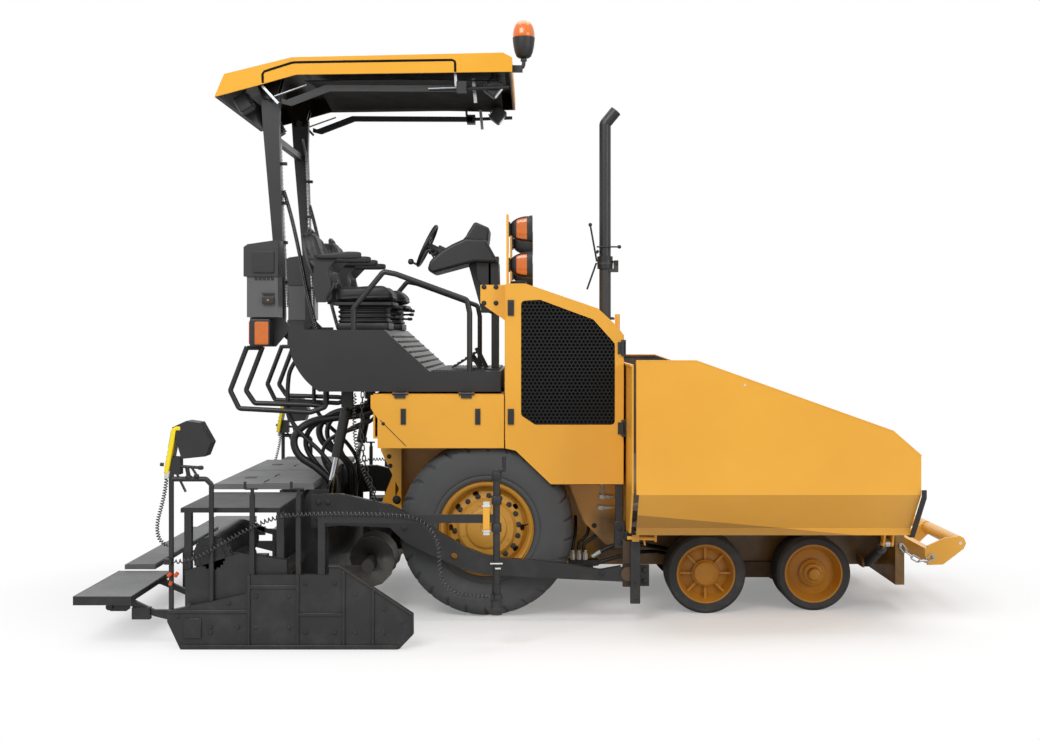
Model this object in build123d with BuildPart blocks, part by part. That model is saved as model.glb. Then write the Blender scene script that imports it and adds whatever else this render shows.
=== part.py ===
from build123d import *
from math import cos, hypot, pi, radians, sin, tan
import os

os.makedirs("parts", exist_ok=True)

# A small wheeled asphalt paver. X runs forward to the hopper, Y to the left, Z up, in millimetres.
# Names ending in _out are distances outboard of the centre plane, the same on both sides.
SIDES = (("right", -1), ("left", 1))

# Clearances
seat_gap = 0.3
pin_gap = 0.4
moving_gap = 6.0

# Rear drive wheels
rear_wheel_x = -370.0
rear_wheel_radius = 536.0
rear_tyre_face_out = 850.0
rear_tyre_width = 385.0
rear_rim_radius = 290.0
rear_rim_dish = 95.0
rear_hub_radius = 225.0
rear_lug_count = 22
rear_lug_depth = 22.0
rear_lug_reach = 62.0
final_drive_radius = 150.0

# Chassis
frame_out = 270.0
frame_plate = 15.0
frame_rear_x = -1000.0
frame_front_x = 2166.0
frame_bottom_z = 230.0
frame_deck_z = 487.0
frame_top_z = 813.7
tunnel_roof_z = 800.0
bumper_length = 56.0
bumper_out = 690.0
bumper_z = (171.0, 484.0)
tow_pin_x = 486.0
tow_pin_z = 285.0
tow_pin_radius = 30.0
arm_in = 905.0
arm_thick = 50.0
guide_out = arm_in - 5.0
locker_in = 500.0
locker_floor_z = 2 * rear_wheel_radius + 20
platform_under_z = 1375.0

# Front axles: name, wheel centre, radius, outer face outboard, whether it steers
FRONT_AXLES = (
    ("rear", 985.0, 245.0, 734.0, False),
    ("front", 1670.0, 231.0, 640.0, True),
)
front_wheel_width = 250.0
front_rim_radius = 182.0
front_rim_dish = 62.0
front_hub_radius = 84.0
spindle_radius = 32.0
kingpin_out = 345.0
kingpin_radius = 26.0
bogie_out = 300.0

# Conveyors
conveyor_in = 22.0
conveyor_out = 240.0
conveyor_rear_x = -870.0
conveyor_front_x = 2060.0
conveyor_axis_z = 410.0
chain_radius = 64.0
chain_thick = 16.0
slat_pitch = 128.0
slat_height = 22.0
slat_width = 26.0

# Hopper
hinge_out = 560.0
hinge_z = 507.0
hinge_pin_radius = 12.0
hinge_knuckle_radius = 21.0
wing_rear_x = 507.0
wing_floor_rear_x = 523.0
wing_front_x = 2134.0
wing_wall_out = 1380.0
wing_knee_z = 808.0
wing_foot_out = 1160.0
wing_foot_z = 589.0
wing_top_z = 1572.0
bulkhead_x = 482.0
cylinder_x = 2062.0
wing_lift_deg = 45.0

# Engine hood
panel_face_out = 880.0
door_thick = 20.0
door_gap = 4.0
hood_rear_x = -257.0
hood_front_x = 470.0
hood_wall = 16.0

# Operator's station
platform_out = 800.0
platform_floor_z = 1500.0
seat_deck_z = 1755.0
seat_out = 450.0
seat_width = 460.0
console_y = -300.0
console_width = 420.0
rail_radius = 17.0
mast_out = 550.0
mast_pivot = (-1676.0, 1790.0)
roof_out = 726.0
roof_pivot = (-1739.0, 3235.0)
cabinet_in = 618.0
cabinet_span = (cabinet_in, cabinet_in + 182.0)
exhaust_x = 380.0
exhaust_y = -350.0
exhaust_radius = 37.5
exhaust_fold_z = 2190.0
rail_top_z = 1511.7
LIFT_FOOT = (-1250.0, 1300.0)
LIFT_EYE = (-1382.0, 640.0)
lift_out = 600.0
lift_barrel_radius = 32.0

# Augers
auger_x = -1098.0
auger_z = 305.0
auger_radius = 150.0
auger_shaft_radius = 38.0
auger_pitch = 260.0
auger_in = 95.0
auger_out = 800.0
flight_thick = 14.0

# Screed
screed_out = 850.0
screed_front_x = -1330.0
screed_rear_x = -1655.0
extension_front_x = -1665.0
extension_rear_x = -2000.0
extension_in = 860.0
end_plate_out = 1660.0
gate_thick = 40.0
screed_deck_z = 810.0
walk_edge_x = -2604.0
guide_tube_x = -1500.0
guide_tube_z = 380.0
guide_tube_radius = 40.0
guide_tube_in = 700.0
sensor_cable_radius = 12.0


def block(x_span, y_span, z_span, mode=Mode.ADD):
    """A rectangular block between two values on each axis."""
    spans = (x_span, y_span, z_span)
    with Locations(tuple(sum(span) / 2 for span in spans)):
        Box(*(abs(span[1] - span[0]) for span in spans), mode=mode)


def outline_face(plane, points, corner):
    """A straight-sided outline on a plane, its corners rounded where a radius is given."""
    with BuildSketch(plane) as face:
        with BuildLine():
            Polyline(*points, close=True)
        make_face()
        if corner:
            fillet(face.vertices(), corner)
    return face.sketch


def side_plate(points, y_span, mode=Mode.ADD, corner=0):
    """An outline in X and Z, as thick as the span in Y."""
    face = outline_face(Plane.XZ.offset(-max(y_span)), points, corner)
    extrude(face, amount=abs(y_span[1] - y_span[0]), mode=mode)


def cross_plate(points, x_span, mode=Mode.ADD, corner=0):
    """An outline in Y and Z, as thick as the span in X."""
    face = outline_face(Plane.YZ.offset(min(x_span)), points, corner)
    extrude(face, amount=abs(x_span[1] - x_span[0]), mode=mode)


def rod(start, end, radius, mode=Mode.ADD, bore=0):
    """A round bar, or a tube where a bore is given, from one point to another."""
    run = Vector(*end) - Vector(*start)
    with BuildSketch(Plane(origin=start, z_dir=run)) as section:
        Circle(radius)
        if bore:
            Circle(bore, mode=Mode.SUBTRACT)
    extrude(section.sketch, amount=run.length, mode=mode)


def corner_radii(points):
    """A bend radius for each inner corner of a route, as wide as its shorter run allows."""
    places = [Vector(*point) for point in points]
    radii = []
    for before, corner, after in zip(places, places[1:], places[2:]):
        turn = (corner - before).get_angle(after - corner)
        shorter = min((corner - before).length, (after - corner).length)
        radii.append(0.45 * shorter / tan(radians(turn / 2)))
    print("bend radii in mm:", [round(radius) for radius in radii])
    return radii


def bent_tube(points, radius, bend):
    """A round tube of straight runs joined by tangent arcs."""
    with BuildLine() as path:
        FilletPolyline(*points, radius=bend)
    with BuildSketch(Plane(origin=path.line @ 0, z_dir=path.line % 0)) as section:
        Circle(radius)
    sweep(section.sketch, path=path.line)


def turned(profile, centre, face_out, side):
    """A profile of radius and depth inboard of the outer face, turned about a wheel's axle."""
    x, z = centre
    with BuildSketch(Plane(origin=(x, side * face_out, z), x_dir=(1, 0, 0), z_dir=(0, 0, -side))) as half:
        with BuildLine():
            Polyline(*profile, close=True)
        make_face()
    revolve(half.sketch, axis=Axis((x, 0, z), (0, 1, 0)), revolution_arc=360)


def mirrored(points, side):
    """Points of an outline in Y and Z, taken to one side of the centre plane."""
    return [(side * y, z) for y, z in points]


def pair(side, low, high):
    """A span outboard of the centre plane as a span in Y."""
    return (side * low, side * high)


# Chassis: two long side plates with the conveyor tunnel between them, cross walls and bumper
with BuildPart() as main_frame:
    side_outline = [
        (frame_front_x, frame_bottom_z),
        (frame_front_x, frame_deck_z),
        (bulkhead_x, frame_deck_z),
        (bulkhead_x - 12, frame_top_z),
        (frame_rear_x, frame_top_z),
        (frame_rear_x - 75, 620),
        (frame_rear_x - 75, auger_z + auger_radius + 15),
        (frame_rear_x + 65, auger_z + auger_radius + 15),
        (frame_rear_x + 65, 300),
        (frame_rear_x + 140, frame_bottom_z),
    ]
    for _, side in SIDES:
        side_plate(side_outline, pair(side, frame_out - frame_plate, frame_out))
    inner_out = frame_out - frame_plate
    block((conveyor_rear_x + 70, conveyor_front_x - 80), (-inner_out, inner_out), (436, 448))
    for cross_x in (-880, -120, 620, 1380, 1900):
        block((cross_x, cross_x + 60), (-inner_out, inner_out), (frame_bottom_z, frame_bottom_z + 70))
    block((frame_rear_x, bulkhead_x - 12), (-inner_out, inner_out), (tunnel_roof_z, frame_top_z))
    block((frame_front_x, frame_front_x + bumper_length), (-bumper_out, bumper_out), bumper_z)
    for wall_x in (-330, -985):
        for _, side in SIDES:
            wall = [
                (frame_out, 560),
                (frame_out, platform_under_z - seat_gap),
                (locker_in, platform_under_z - seat_gap),
                (locker_in, locker_floor_z),
                (446, locker_floor_z),
                (446, 560),
            ]
            cross_plate(mirrored(wall, side), (wall_x, wall_x + 20))
    for _, side in SIDES:
        rod((rear_wheel_x, side * (frame_out + 0.1), rear_wheel_radius),
            (rear_wheel_x, side * 460, rear_wheel_radius), final_drive_radius + seat_gap, Mode.SUBTRACT)
        block((frame_rear_x, -325), pair(side, 255, 275), (frame_top_z, platform_under_z - seat_gap))
        outrigger = [(146, 771), (440, 771), (440, 392), (377, 392), (239, 535)]
        side_plate(outrigger, pair(side, 486, 500))
        block((268, 430), pair(side, frame_out, 486), (560, 760))
        rear_bracket = [
            (-1056, 1035), (-1056, 985), (-940, 740), (-985, 640), (-985, 575), (-925, 575), (-925, 1035),
        ]
        side_plate(rear_bracket, pair(side, 440, 455))
        guide_x = (tow_pin_x - 26, tow_pin_x + 26)
        block(guide_x, pair(side, guide_out - 42, guide_out), (196, 484))
        block((tow_pin_x - 20, tow_pin_x + 20), pair(side, frame_out, guide_out - 42), (400, 470))
        rod((tow_pin_x, side * (guide_out - 20), tow_pin_z),
            (tow_pin_x, side * (arm_in + arm_thick + 12), tow_pin_z), tow_pin_radius)
        rod((tow_pin_x, side * (arm_in + arm_thick + 3), tow_pin_z),
            (tow_pin_x, side * (arm_in + arm_thick + 15), tow_pin_z), tow_pin_radius + 12)
        for ear in (-38, 24):
            block((cylinder_x + ear, cylinder_x + ear + 14), pair(side, frame_out, 425), (235, 292))
        rod((cylinder_x - 38, side * 400, 262), (cylinder_x + 38, side * 400, 262), 11)
    for ear_z in (305, 455):
        block((frame_front_x + bumper_length, frame_front_x + bumper_length + 74), (-60, 60), (ear_z, ear_z + 16))
    rod((2270, 0, 300), (2270, 0, 476), 22)
main_frame.part.label = "main_frame"
export_step(main_frame.part, "parts/main_frame.step")

# Bogie plates beside the chassis, with the fixed axle stubs and the kingpins' ears
with BuildPart() as bogie_beams:
    for _, side in SIDES:
        bogie = [(925, 310), (925, 190), (1010, 150), (1640, 150), (1730, 170), (1730, 328), (1600, 328), (1480, 250),
                 (1180, 250), (1060, 310)]
        side_plate(bogie, pair(side, frame_out + seat_gap, bogie_out))
        for _, axle_x, radius, face_out, steers in FRONT_AXLES:
            if steers:
                for ear_z in ((150, 164), (312, 326)):
                    block((axle_x - 34, axle_x + 34), pair(side, bogie_out - 5, kingpin_out), ear_z)
                    rod((axle_x, side * kingpin_out, ear_z[0]), (axle_x, side * kingpin_out, ear_z[1]), 34)
                rod((axle_x, side * kingpin_out, 160), (axle_x, side * kingpin_out, 316), 13)
            else:
                rod((axle_x, side * (bogie_out - 5), radius), (axle_x, side * (face_out - 70), radius), spindle_radius)
                rod((axle_x, side * bogie_out, radius),
                    (axle_x, side * (face_out - front_wheel_width - 8), radius), 70)
bogie_beams.part.label = "bogie_beams"
export_step(bogie_beams.part, "parts/bogie_beams.step")

# Final drives bolted to the chassis sides, each with the stub that carries a drive wheel
with BuildPart() as final_drives:
    for _, side in SIDES:
        centre = (rear_wheel_x, rear_wheel_radius)
        rod((centre[0], side * (frame_out + seat_gap), centre[1]), (centre[0], side * 500, centre[1]),
            final_drive_radius)
        rod((centre[0], side * 500, centre[1]), (centre[0], side * 640, centre[1]), 105)
        rod((centre[0], side * 640, centre[1]), (centre[0], side * 735, centre[1]), 60)
final_drives.part.label = "final_drives"
export_step(final_drives.part, "parts/final_drives.step")

# Drive tyres with lug notches across both shoulders, and their dished rims with a planetary hub
for side_name, side in SIDES:
    with BuildPart() as rear_tyre:
        outer = rear_wheel_radius
        turned(
            [
                (rear_rim_radius, 34), (rear_rim_radius + 26, 12), (outer - 130, 0), (outer - 48, 8), (outer - 6, 44),
                (outer, 96), (outer, rear_tyre_width - 96), (outer - 6, rear_tyre_width - 44),
                (outer - 48, rear_tyre_width - 8), (outer - 130, rear_tyre_width),
                (rear_rim_radius + 26, rear_tyre_width - 12), (rear_rim_radius, rear_tyre_width - 34),
            ],
            (rear_wheel_x, outer), rear_tyre_face_out, side,
        )
        for face_out, reach in ((rear_tyre_face_out, -side), (rear_tyre_face_out - rear_tyre_width, side)):
            notch_plane = Plane(
                origin=(rear_wheel_x, side * face_out, outer), x_dir=(1, 0, 0), z_dir=(0, reach, 0)
            )
            with BuildSketch(notch_plane) as notches:
                with PolarLocations(outer - rear_lug_depth / 2 + 4, rear_lug_count, start_angle=4):
                    Rectangle(rear_lug_depth + 8, 34)
            extrude(notches.sketch, amount=rear_lug_reach, mode=Mode.SUBTRACT)
    rear_tyre.part.label = f"rear_tyre_{side_name}"
    export_step(rear_tyre.part, f"parts/rear_tyre_{side_name}.step")

    with BuildPart() as rear_rim:
        barrel = rear_rim_radius - seat_gap
        turned(
            [
                (0, 62), (118, 62), (128, 74), (rear_hub_radius - 52, 74), (rear_hub_radius - 40, 86),
                (rear_hub_radius, rear_rim_dish), (rear_hub_radius + 26, rear_rim_dish + 22),
                (barrel - 14, rear_rim_dish - 20), (barrel - 14, 44), (barrel, 30),
                (barrel, rear_tyre_width - 30), (barrel - 16, rear_tyre_width - 30),
                (barrel - 16, rear_rim_dish + 52), (rear_hub_radius, rear_rim_dish + 40),
                (130, rear_rim_dish + 30), (130, rear_rim_dish + 85), (60 + pin_gap, rear_rim_dish + 85),
                (60 + pin_gap, rear_rim_dish + 18), (0, rear_rim_dish + 18),
            ],
            (rear_wheel_x, rear_wheel_radius), rear_tyre_face_out, side,
        )
        hole_plane = Plane(
            origin=(rear_wheel_x, side * rear_tyre_face_out, rear_wheel_radius), x_dir=(1, 0, 0), z_dir=(0, -side, 0)
        )
        with BuildSketch(hole_plane) as hand_holes:
            with PolarLocations(rear_hub_radius - 5, 10):
                SlotCenterToCenter(14, 26, rotation=90)
        extrude(hand_holes.sketch, amount=rear_rim_dish + 60, mode=Mode.SUBTRACT)
    rear_rim.part.label = f"rear_rim_{side_name}"
    export_step(rear_rim.part, f"parts/rear_rim_{side_name}.step")

# Front wheels of solid rubber on dished hubs, ribbed on the driven axle, and the steered pair's knuckles
for axle_name, axle_x, radius, face_out, steers in FRONT_AXLES:
    for side_name, side in SIDES:
        with BuildPart() as front_wheel:
            dish = front_rim_dish
            rim = front_rim_radius
            turned(
                [
                    (0, 26), (front_hub_radius - 14, 26), (front_hub_radius, 36), (front_hub_radius, dish),
                    (rim - 40, dish + 14), (rim - 10, 14), (rim - 10, 4), (rim, 4), (rim, 0), (radius - 16, 0),
                    (radius, 14), (radius, front_wheel_width - 14), (radius - 16, front_wheel_width),
                    (rim - 10, front_wheel_width), (rim - 10, dish + 48), (rim - 40, dish + 34),
                    (front_hub_radius, dish + 24), (front_hub_radius, dish + 70), (spindle_radius + pin_gap, dish + 70),
                    (spindle_radius + pin_gap, 60), (0, 60),
                ],
                (axle_x, radius), face_out, side,
            )
            if not steers:
                rib_plane = Plane(origin=(axle_x, side * face_out, radius), x_dir=(1, 0, 0), z_dir=(0, -side, 0))
                with BuildSketch(rib_plane.offset(40)) as ribs:
                    with PolarLocations((front_hub_radius + rim) / 2 - 14, 8):
                        Rectangle(rim - front_hub_radius - 22, 14)
                extrude(ribs.sketch, amount=dish - 20)
        label = f"front_wheel_{axle_name}_{side_name}"
        front_wheel.part.label = label
        export_step(front_wheel.part, f"parts/{label}.step")

        if steers:
            with BuildPart() as knuckle:
                boss_z = (164 + 6, 312 - 6)
                rod((axle_x, side * kingpin_out, boss_z[0]), (axle_x, side * kingpin_out, boss_z[1]),
                    kingpin_radius, bore=13 + pin_gap)
                rod((axle_x, side * (kingpin_out + kingpin_radius - 6), radius),
                    (axle_x, side * (face_out - 66), radius), spindle_radius)
                block((axle_x - 90, axle_x - 20), pair(side, kingpin_out - 8, kingpin_out + 8), (205, 225))
            knuckle.part.label = f"steering_knuckle_{side_name}"
            export_step(knuckle.part, f"parts/steering_knuckle_{side_name}.step")

# Two slat conveyors: closed chain loops round end sprockets, a slat across every few links
with BuildPart() as slat_conveyors:
    loop_centre = (conveyor_front_x + conveyor_rear_x) / 2
    loop_length = conveyor_front_x - conveyor_rear_x
    for _, side in SIDES:
        for strand in (conveyor_in, conveyor_out - 14):
            with BuildSketch(Plane.XZ.offset(-max(side * strand, side * (strand + 14)))) as loop:
                with Locations((loop_centre, conveyor_axis_z)):
                    SlotCenterToCenter(loop_length, 2 * chain_radius)
                    SlotCenterToCenter(loop_length, 2 * (chain_radius - chain_thick), mode=Mode.SUBTRACT)
            extrude(loop.sketch, amount=14)
            for end_x in (conveyor_rear_x, conveyor_front_x):
                rod((end_x, side * strand, conveyor_axis_z), (end_x, side * (strand + 14), conveyor_axis_z),
                    chain_radius - chain_thick)
    for end_x in (conveyor_rear_x, conveyor_front_x):
        rod((end_x, -inner_out, conveyor_axis_z), (end_x, inner_out, conveyor_axis_z), 22)
    slat_count = int(loop_length / slat_pitch) + 1
    first_x = loop_centre - (slat_count - 1) * slat_pitch / 2
    slat_offset = chain_radius + 8 - slat_height / 2
    slat_places = [
        (first_x + index * slat_pitch, side * (conveyor_in + conveyor_out) / 2, conveyor_axis_z + offset_z)
        for index in range(slat_count)
        for _, side in SIDES
        for offset_z in (slat_offset, -slat_offset)
    ]
    with Locations(*slat_places):
        Box(slat_width, conveyor_out - conveyor_in - 8, slat_height)
slat_conveyors.part.label = "slat_conveyors"
export_step(slat_conveyors.part, "parts/slat_conveyors.step")

# Fixed hopper: trough beside the conveyors, centre ridge, wing hinge lugs and the rear bulkhead.
# Each hinge knuckle's low end in X and its width keep it clear of the wheels below.
KNUCKLES = ((600.0, 130.0), (1240.0, 180.0), (1925.0, 160.0))
with BuildPart() as hopper_box:
    for _, side in SIDES:
        trough_out = hinge_out - hinge_knuckle_radius - moving_gap
        trough = [(frame_out - frame_plate, frame_deck_z), (trough_out, hinge_z - 12), (trough_out, hinge_z),
                  (frame_out - frame_plate, frame_deck_z + 12)]
        cross_plate(mirrored(trough, side), (bulkhead_x, frame_front_x))
        rod((wing_floor_rear_x + 30, side * hinge_out, hinge_z), (frame_front_x - 40, side * hinge_out, hinge_z),
            hinge_pin_radius)
        edges = [wing_floor_rear_x + 30] + [edge for x, width in KNUCKLES for edge in (x - 6, x + width + 6)]
        edges.append(frame_front_x - 40)
        for low, high in zip(edges[::2], edges[1::2]):
            block((low, high), pair(side, trough_out - 2, hinge_out), (hinge_z - 11, hinge_z - 1))
    bulkhead = [
        (frame_out - frame_plate, 487), (hinge_out, hinge_z + 6), (wing_foot_out - 20, 556),
        (wing_wall_out - 22, wing_knee_z + 10), (wing_wall_out - 22, wing_top_z - 20),
    ]
    whole = bulkhead + [(-y, z) for y, z in reversed(bulkhead)]
    cross_plate(whole, (bulkhead_x, bulkhead_x + 12))
    block((bulkhead_x - 1, bulkhead_x + 13), (-inner_out, inner_out), (480, tunnel_roof_z - 40), Mode.SUBTRACT)
    block((bulkhead_x - 8, bulkhead_x + 12), (-wing_wall_out + 22, wing_wall_out - 22), (wing_top_z - 32, wing_top_z - 20))
    ridge = [(-18, frame_deck_z), (18, frame_deck_z), (8, 545), (-8, 545)]
    cross_plate(ridge, (bulkhead_x, frame_front_x))
    block((frame_front_x, frame_front_x + 14), (-hinge_out + 14, hinge_out - 14), (484.3, 566))
hopper_box.part.label = "hopper_box"
export_step(hopper_box.part, "parts/hopper_box.step")

# Hopper wings: bent plate from the hinge to the knee, a tall wall with a sloping top, and flanges
EYE_REST = (900.0, 462.0)
for side_name, side in SIDES:
    with BuildPart() as wing:
        bent = [
            (hinge_out + 30, hinge_z - 6), (1150, 545), (wing_foot_out, wing_foot_z), (wing_wall_out, wing_knee_z),
            (wing_wall_out, wing_knee_z + 20), (wing_wall_out - 14, wing_knee_z + 20),
            (wing_wall_out - 14, wing_knee_z + 6), (wing_foot_out - 13, wing_foot_z + 6), (1140, 559),
            (hinge_out + 30, hinge_z + 7),
        ]
        cross_plate(mirrored(bent, side), (wing_floor_rear_x, wing_front_x))
        wall = [
            (wing_rear_x, wing_knee_z), (wing_rear_x, wing_top_z), (850, wing_top_z), (1973.5, 1170),
            (wing_front_x, 1030), (wing_front_x, wing_knee_z),
        ]
        side_plate(wall, pair(side, wing_wall_out - 14, wing_wall_out))
        block((wing_rear_x, wing_rear_x + 12), pair(side, wing_wall_out - 60, wing_wall_out), (wing_knee_z + 40, wing_top_z))
        block((wing_front_x - 12, wing_front_x), pair(side, wing_wall_out - 70, wing_wall_out), (wing_knee_z, 1030))
        block((wing_rear_x, 850), pair(side, wing_wall_out - 40, wing_wall_out), (wing_top_z - 12, wing_top_z))
        for knuckle_x, width in KNUCKLES:
            block((knuckle_x, knuckle_x + width), pair(side, hinge_out, hinge_out + 34), (hinge_z - 6, hinge_z + 7))
            rod((knuckle_x, side * hinge_out, hinge_z), (knuckle_x + width, side * hinge_out, hinge_z),
                hinge_knuckle_radius)
            rod((knuckle_x, side * hinge_out, hinge_z), (knuckle_x + width, side * hinge_out, hinge_z),
                hinge_pin_radius + pin_gap, Mode.SUBTRACT)
        for ear in (-32, 20):
            lug = [(EYE_REST[0] - 28, 530), (EYE_REST[0] - 20, 444), (EYE_REST[0] + 20, 444), (EYE_REST[0] + 60, 535)]
            cross_plate(mirrored(lug, side), (cylinder_x + ear, cylinder_x + ear + 12))
        for head in (-38, 32):
            rod((cylinder_x + head, side * EYE_REST[0], EYE_REST[1]),
                (cylinder_x + head + 6, side * EYE_REST[0], EYE_REST[1]), 15)
    wing.part.label = f"hopper_wing_{side_name}"
    export_step(wing.part, f"parts/hopper_wing_{side_name}.step")

    run = (EYE_REST[0] - 400, EYE_REST[1] - 262)
    reach = hypot(*run)
    unit = (run[0] / reach, run[1] / reach)

    def along(distance):
        """A point on the wing cylinder's axis, measured from its foot pin."""
        return (cylinder_x, side * (400 + unit[0] * distance), 262 + unit[1] * distance)

    with BuildPart() as wing_barrel:
        rod(along(50), along(395), 32)
        rod((cylinder_x - 16, side * 400, 262), (cylinder_x + 16, side * 400, 262), 26)
        rod(along(10), along(55), 16)
        rod(along(60), along(400), 16 + pin_gap, Mode.SUBTRACT)
        rod((cylinder_x - 20, side * 400, 262), (cylinder_x + 20, side * 400, 262), 11 + pin_gap, Mode.SUBTRACT)
    wing_barrel.part.label = f"wing_cylinder_barrel_{side_name}"
    export_step(wing_barrel.part, f"parts/wing_cylinder_barrel_{side_name}.step")

    with BuildPart() as wing_rod:
        rod(along(200), along(reach - 12), 16)
        rod((cylinder_x - 14, side * EYE_REST[0], EYE_REST[1]), (cylinder_x + 14, side * EYE_REST[0], EYE_REST[1]), 24)
        rod((cylinder_x - 19.7, side * EYE_REST[0], EYE_REST[1]),
            (cylinder_x + 19.7, side * EYE_REST[0], EYE_REST[1]), 10)
    wing_rod.part.label = f"wing_cylinder_rod_{side_name}"
    export_step(wing_rod.part, f"parts/wing_cylinder_rod_{side_name}.step")

# Push roller yoke on its vertical pin, with the safety chain at the right end, and the two rollers
roller_axis = (2564.0, 432.0)
with BuildPart() as push_yoke:
    for _, side in SIDES:
        end_plate = [(2360, 415), (2470, 465), (2545, 472), (2585, 466), (2600, 432), (2585, 398), (2457, 300),
                     (2360, 297)]
        side_plate(end_plate, pair(side, 690, 710))
    block((2345, 2390), (-710, 710), (310, 400))
    block((2300, 2346), (-170, 170), (328, 448))
    rod((2270, 0, 328), (2270, 0, 448), 48)
    block((2265, 2310), (-44, 44), (328, 448))
    rod((2270, 0, 320), (2270, 0, 460), 22 + pin_gap, Mode.SUBTRACT)
    middle_plate = [(2389, 320), (2389, 395), (2530, 462), (2592, 446), (2592, 418), (2500, 330)]
    side_plate(middle_plate, (-12, 12))
    rod((roller_axis[0], -690, roller_axis[1]), (roller_axis[0], 690, roller_axis[1]), 14)
push_yoke.part.label = "push_yoke"
export_step(push_yoke.part, "parts/push_yoke.step")

with BuildPart() as push_rollers:
    for _, side in SIDES:
        rod((roller_axis[0], side * 22, roller_axis[1]), (roller_axis[0], side * 682, roller_axis[1]), 40,
            bore=14 + pin_gap)
push_rollers.part.label = "push_rollers"
export_step(push_rollers.part, "parts/push_rollers.step")

# Door hinge pins: place in X and outboard, low ends in Z
DOOR_HINGE = (459.0, 891.0)
DOOR_HINGE_Z = (1120.0, 1607.0)
door_hinge_length = 72.0

# Engine hood: a folded sheet tunnel open at both sides, gussets at its rear and the lamp brackets
HOOD_LINE = [
    (hood_rear_x, 1030), (-190, 1018), (24, 814), (467, 814), (hood_front_x, 1721), (416, 1788), (312, 1884),
    (-130, 2036), (-225, 2036), (hood_rear_x, 2030),
]
with BuildPart() as engine_hood:
    hood_face = outline_face(Plane.XZ.offset(-(panel_face_out - door_thick - 2)), HOOD_LINE, 0)
    extrude(hood_face, amount=2 * (panel_face_out - door_thick - 2))
    inner_face = offset(hood_face, amount=-hood_wall, mode=Mode.PRIVATE)
    extrude(inner_face, amount=2 * (panel_face_out - door_thick) + 4, mode=Mode.SUBTRACT)
    rod((exhaust_x, exhaust_y, 1700), (exhaust_x, exhaust_y, 2000), exhaust_radius + 6, Mode.SUBTRACT)
    for _, side in SIDES:
        rod((rear_wheel_x, side * 445, rear_wheel_radius), (rear_wheel_x, side * 880, rear_wheel_radius),
            rear_wheel_radius + 20, Mode.SUBTRACT)
        gusset = [(-407, 2030), (-257, 2030), (-257, 1812), (-407, 1918)]
        side_plate(gusset, pair(side, 790, 804))
        block((-250, -236), pair(side, 590, 720), (2020, 2470))
        for hinge_low in DOOR_HINGE_Z:
            hinge_high = hinge_low + door_hinge_length
            block((462, 472), pair(side, 840, 857), (hinge_low - 14, hinge_high + 14))
            block((471, 479), pair(side, 840, DOOR_HINGE[1] + 8), (hinge_low - 14, hinge_high + 14))
            for low, high in ((hinge_low - 14, hinge_low - pin_gap), (hinge_high + pin_gap, hinge_high + 14)):
                block((DOOR_HINGE[0], 472), pair(side, DOOR_HINGE[1] - 8, DOOR_HINGE[1] + 8), (low, high))
                rod((DOOR_HINGE[0], side * DOOR_HINGE[1], low), (DOOR_HINGE[0], side * DOOR_HINGE[1], high), 8)
            rod((DOOR_HINGE[0], side * DOOR_HINGE[1], hinge_low - 14),
                (DOOR_HINGE[0], side * DOOR_HINGE[1], hinge_high + 14), 5)
        rod((433, side * 800, 1740), (433, side * 800, 1850), 15)
engine_hood.part.label = "engine_hood"
export_step(engine_hood.part, "parts/engine_hood.step")

fold_pin = (exhaust_x + exhaust_radius + 33, exhaust_fold_z)

# Engine as one plain block, with the fixed lower length of the exhaust pipe
with BuildPart() as engine_block:
    block((40, 440), (-420, 420), (814 + hood_wall + seat_gap, 1600))
    rod((exhaust_x, exhaust_y, 1600), (exhaust_x, exhaust_y, exhaust_fold_z - seat_gap), exhaust_radius)
    rod((exhaust_x, exhaust_y, exhaust_fold_z - 12), (exhaust_x, exhaust_y, exhaust_fold_z - seat_gap),
        exhaust_radius + 14)
    for ear in (-34, 22):
        block((fold_pin[0] - 14, fold_pin[0] + 14), (exhaust_y + ear, exhaust_y + ear + 12),
              (exhaust_fold_z - 60, exhaust_fold_z + 14))
    block((exhaust_x + 20, fold_pin[0] + 14), (exhaust_y - 34, exhaust_y + 34),
          (exhaust_fold_z - 60, exhaust_fold_z - 40))
    rod((fold_pin[0], exhaust_y - 34, fold_pin[1]), (fold_pin[0], exhaust_y + 34, fold_pin[1]), 7)
engine_block.part.label = "engine_block"
export_step(engine_block.part, "parts/engine_block.step")

# Upper exhaust stack with an outlet cut on the slant, hinged to fold forward
with BuildPart() as exhaust_stack:
    rod((exhaust_x, exhaust_y, exhaust_fold_z), (exhaust_x, exhaust_y, 3045), exhaust_radius)
    bent_tube([(exhaust_x, exhaust_y, 3030), (exhaust_x, exhaust_y, 3085), (450, exhaust_y, 3170)],
              exhaust_radius, 30)
    rod((exhaust_x, exhaust_y, exhaust_fold_z), (exhaust_x, exhaust_y, exhaust_fold_z + 12), exhaust_radius + 14)
    block((exhaust_x + 20, fold_pin[0]), (exhaust_y - 16, exhaust_y + 16), (exhaust_fold_z, exhaust_fold_z + 12))
    rod((fold_pin[0], exhaust_y - 16, fold_pin[1]), (fold_pin[0], exhaust_y + 16, fold_pin[1]), 14)
    rod((fold_pin[0], exhaust_y - 20, fold_pin[1]), (fold_pin[0], exhaust_y + 20, fold_pin[1]),
        7 + pin_gap, Mode.SUBTRACT)
    block((420, 520), (exhaust_y - 60, exhaust_y + 60), (3215, 3300), Mode.SUBTRACT)
exhaust_stack.part.label = "exhaust_stack"
export_step(exhaust_stack.part, "parts/exhaust_stack.step")

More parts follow.
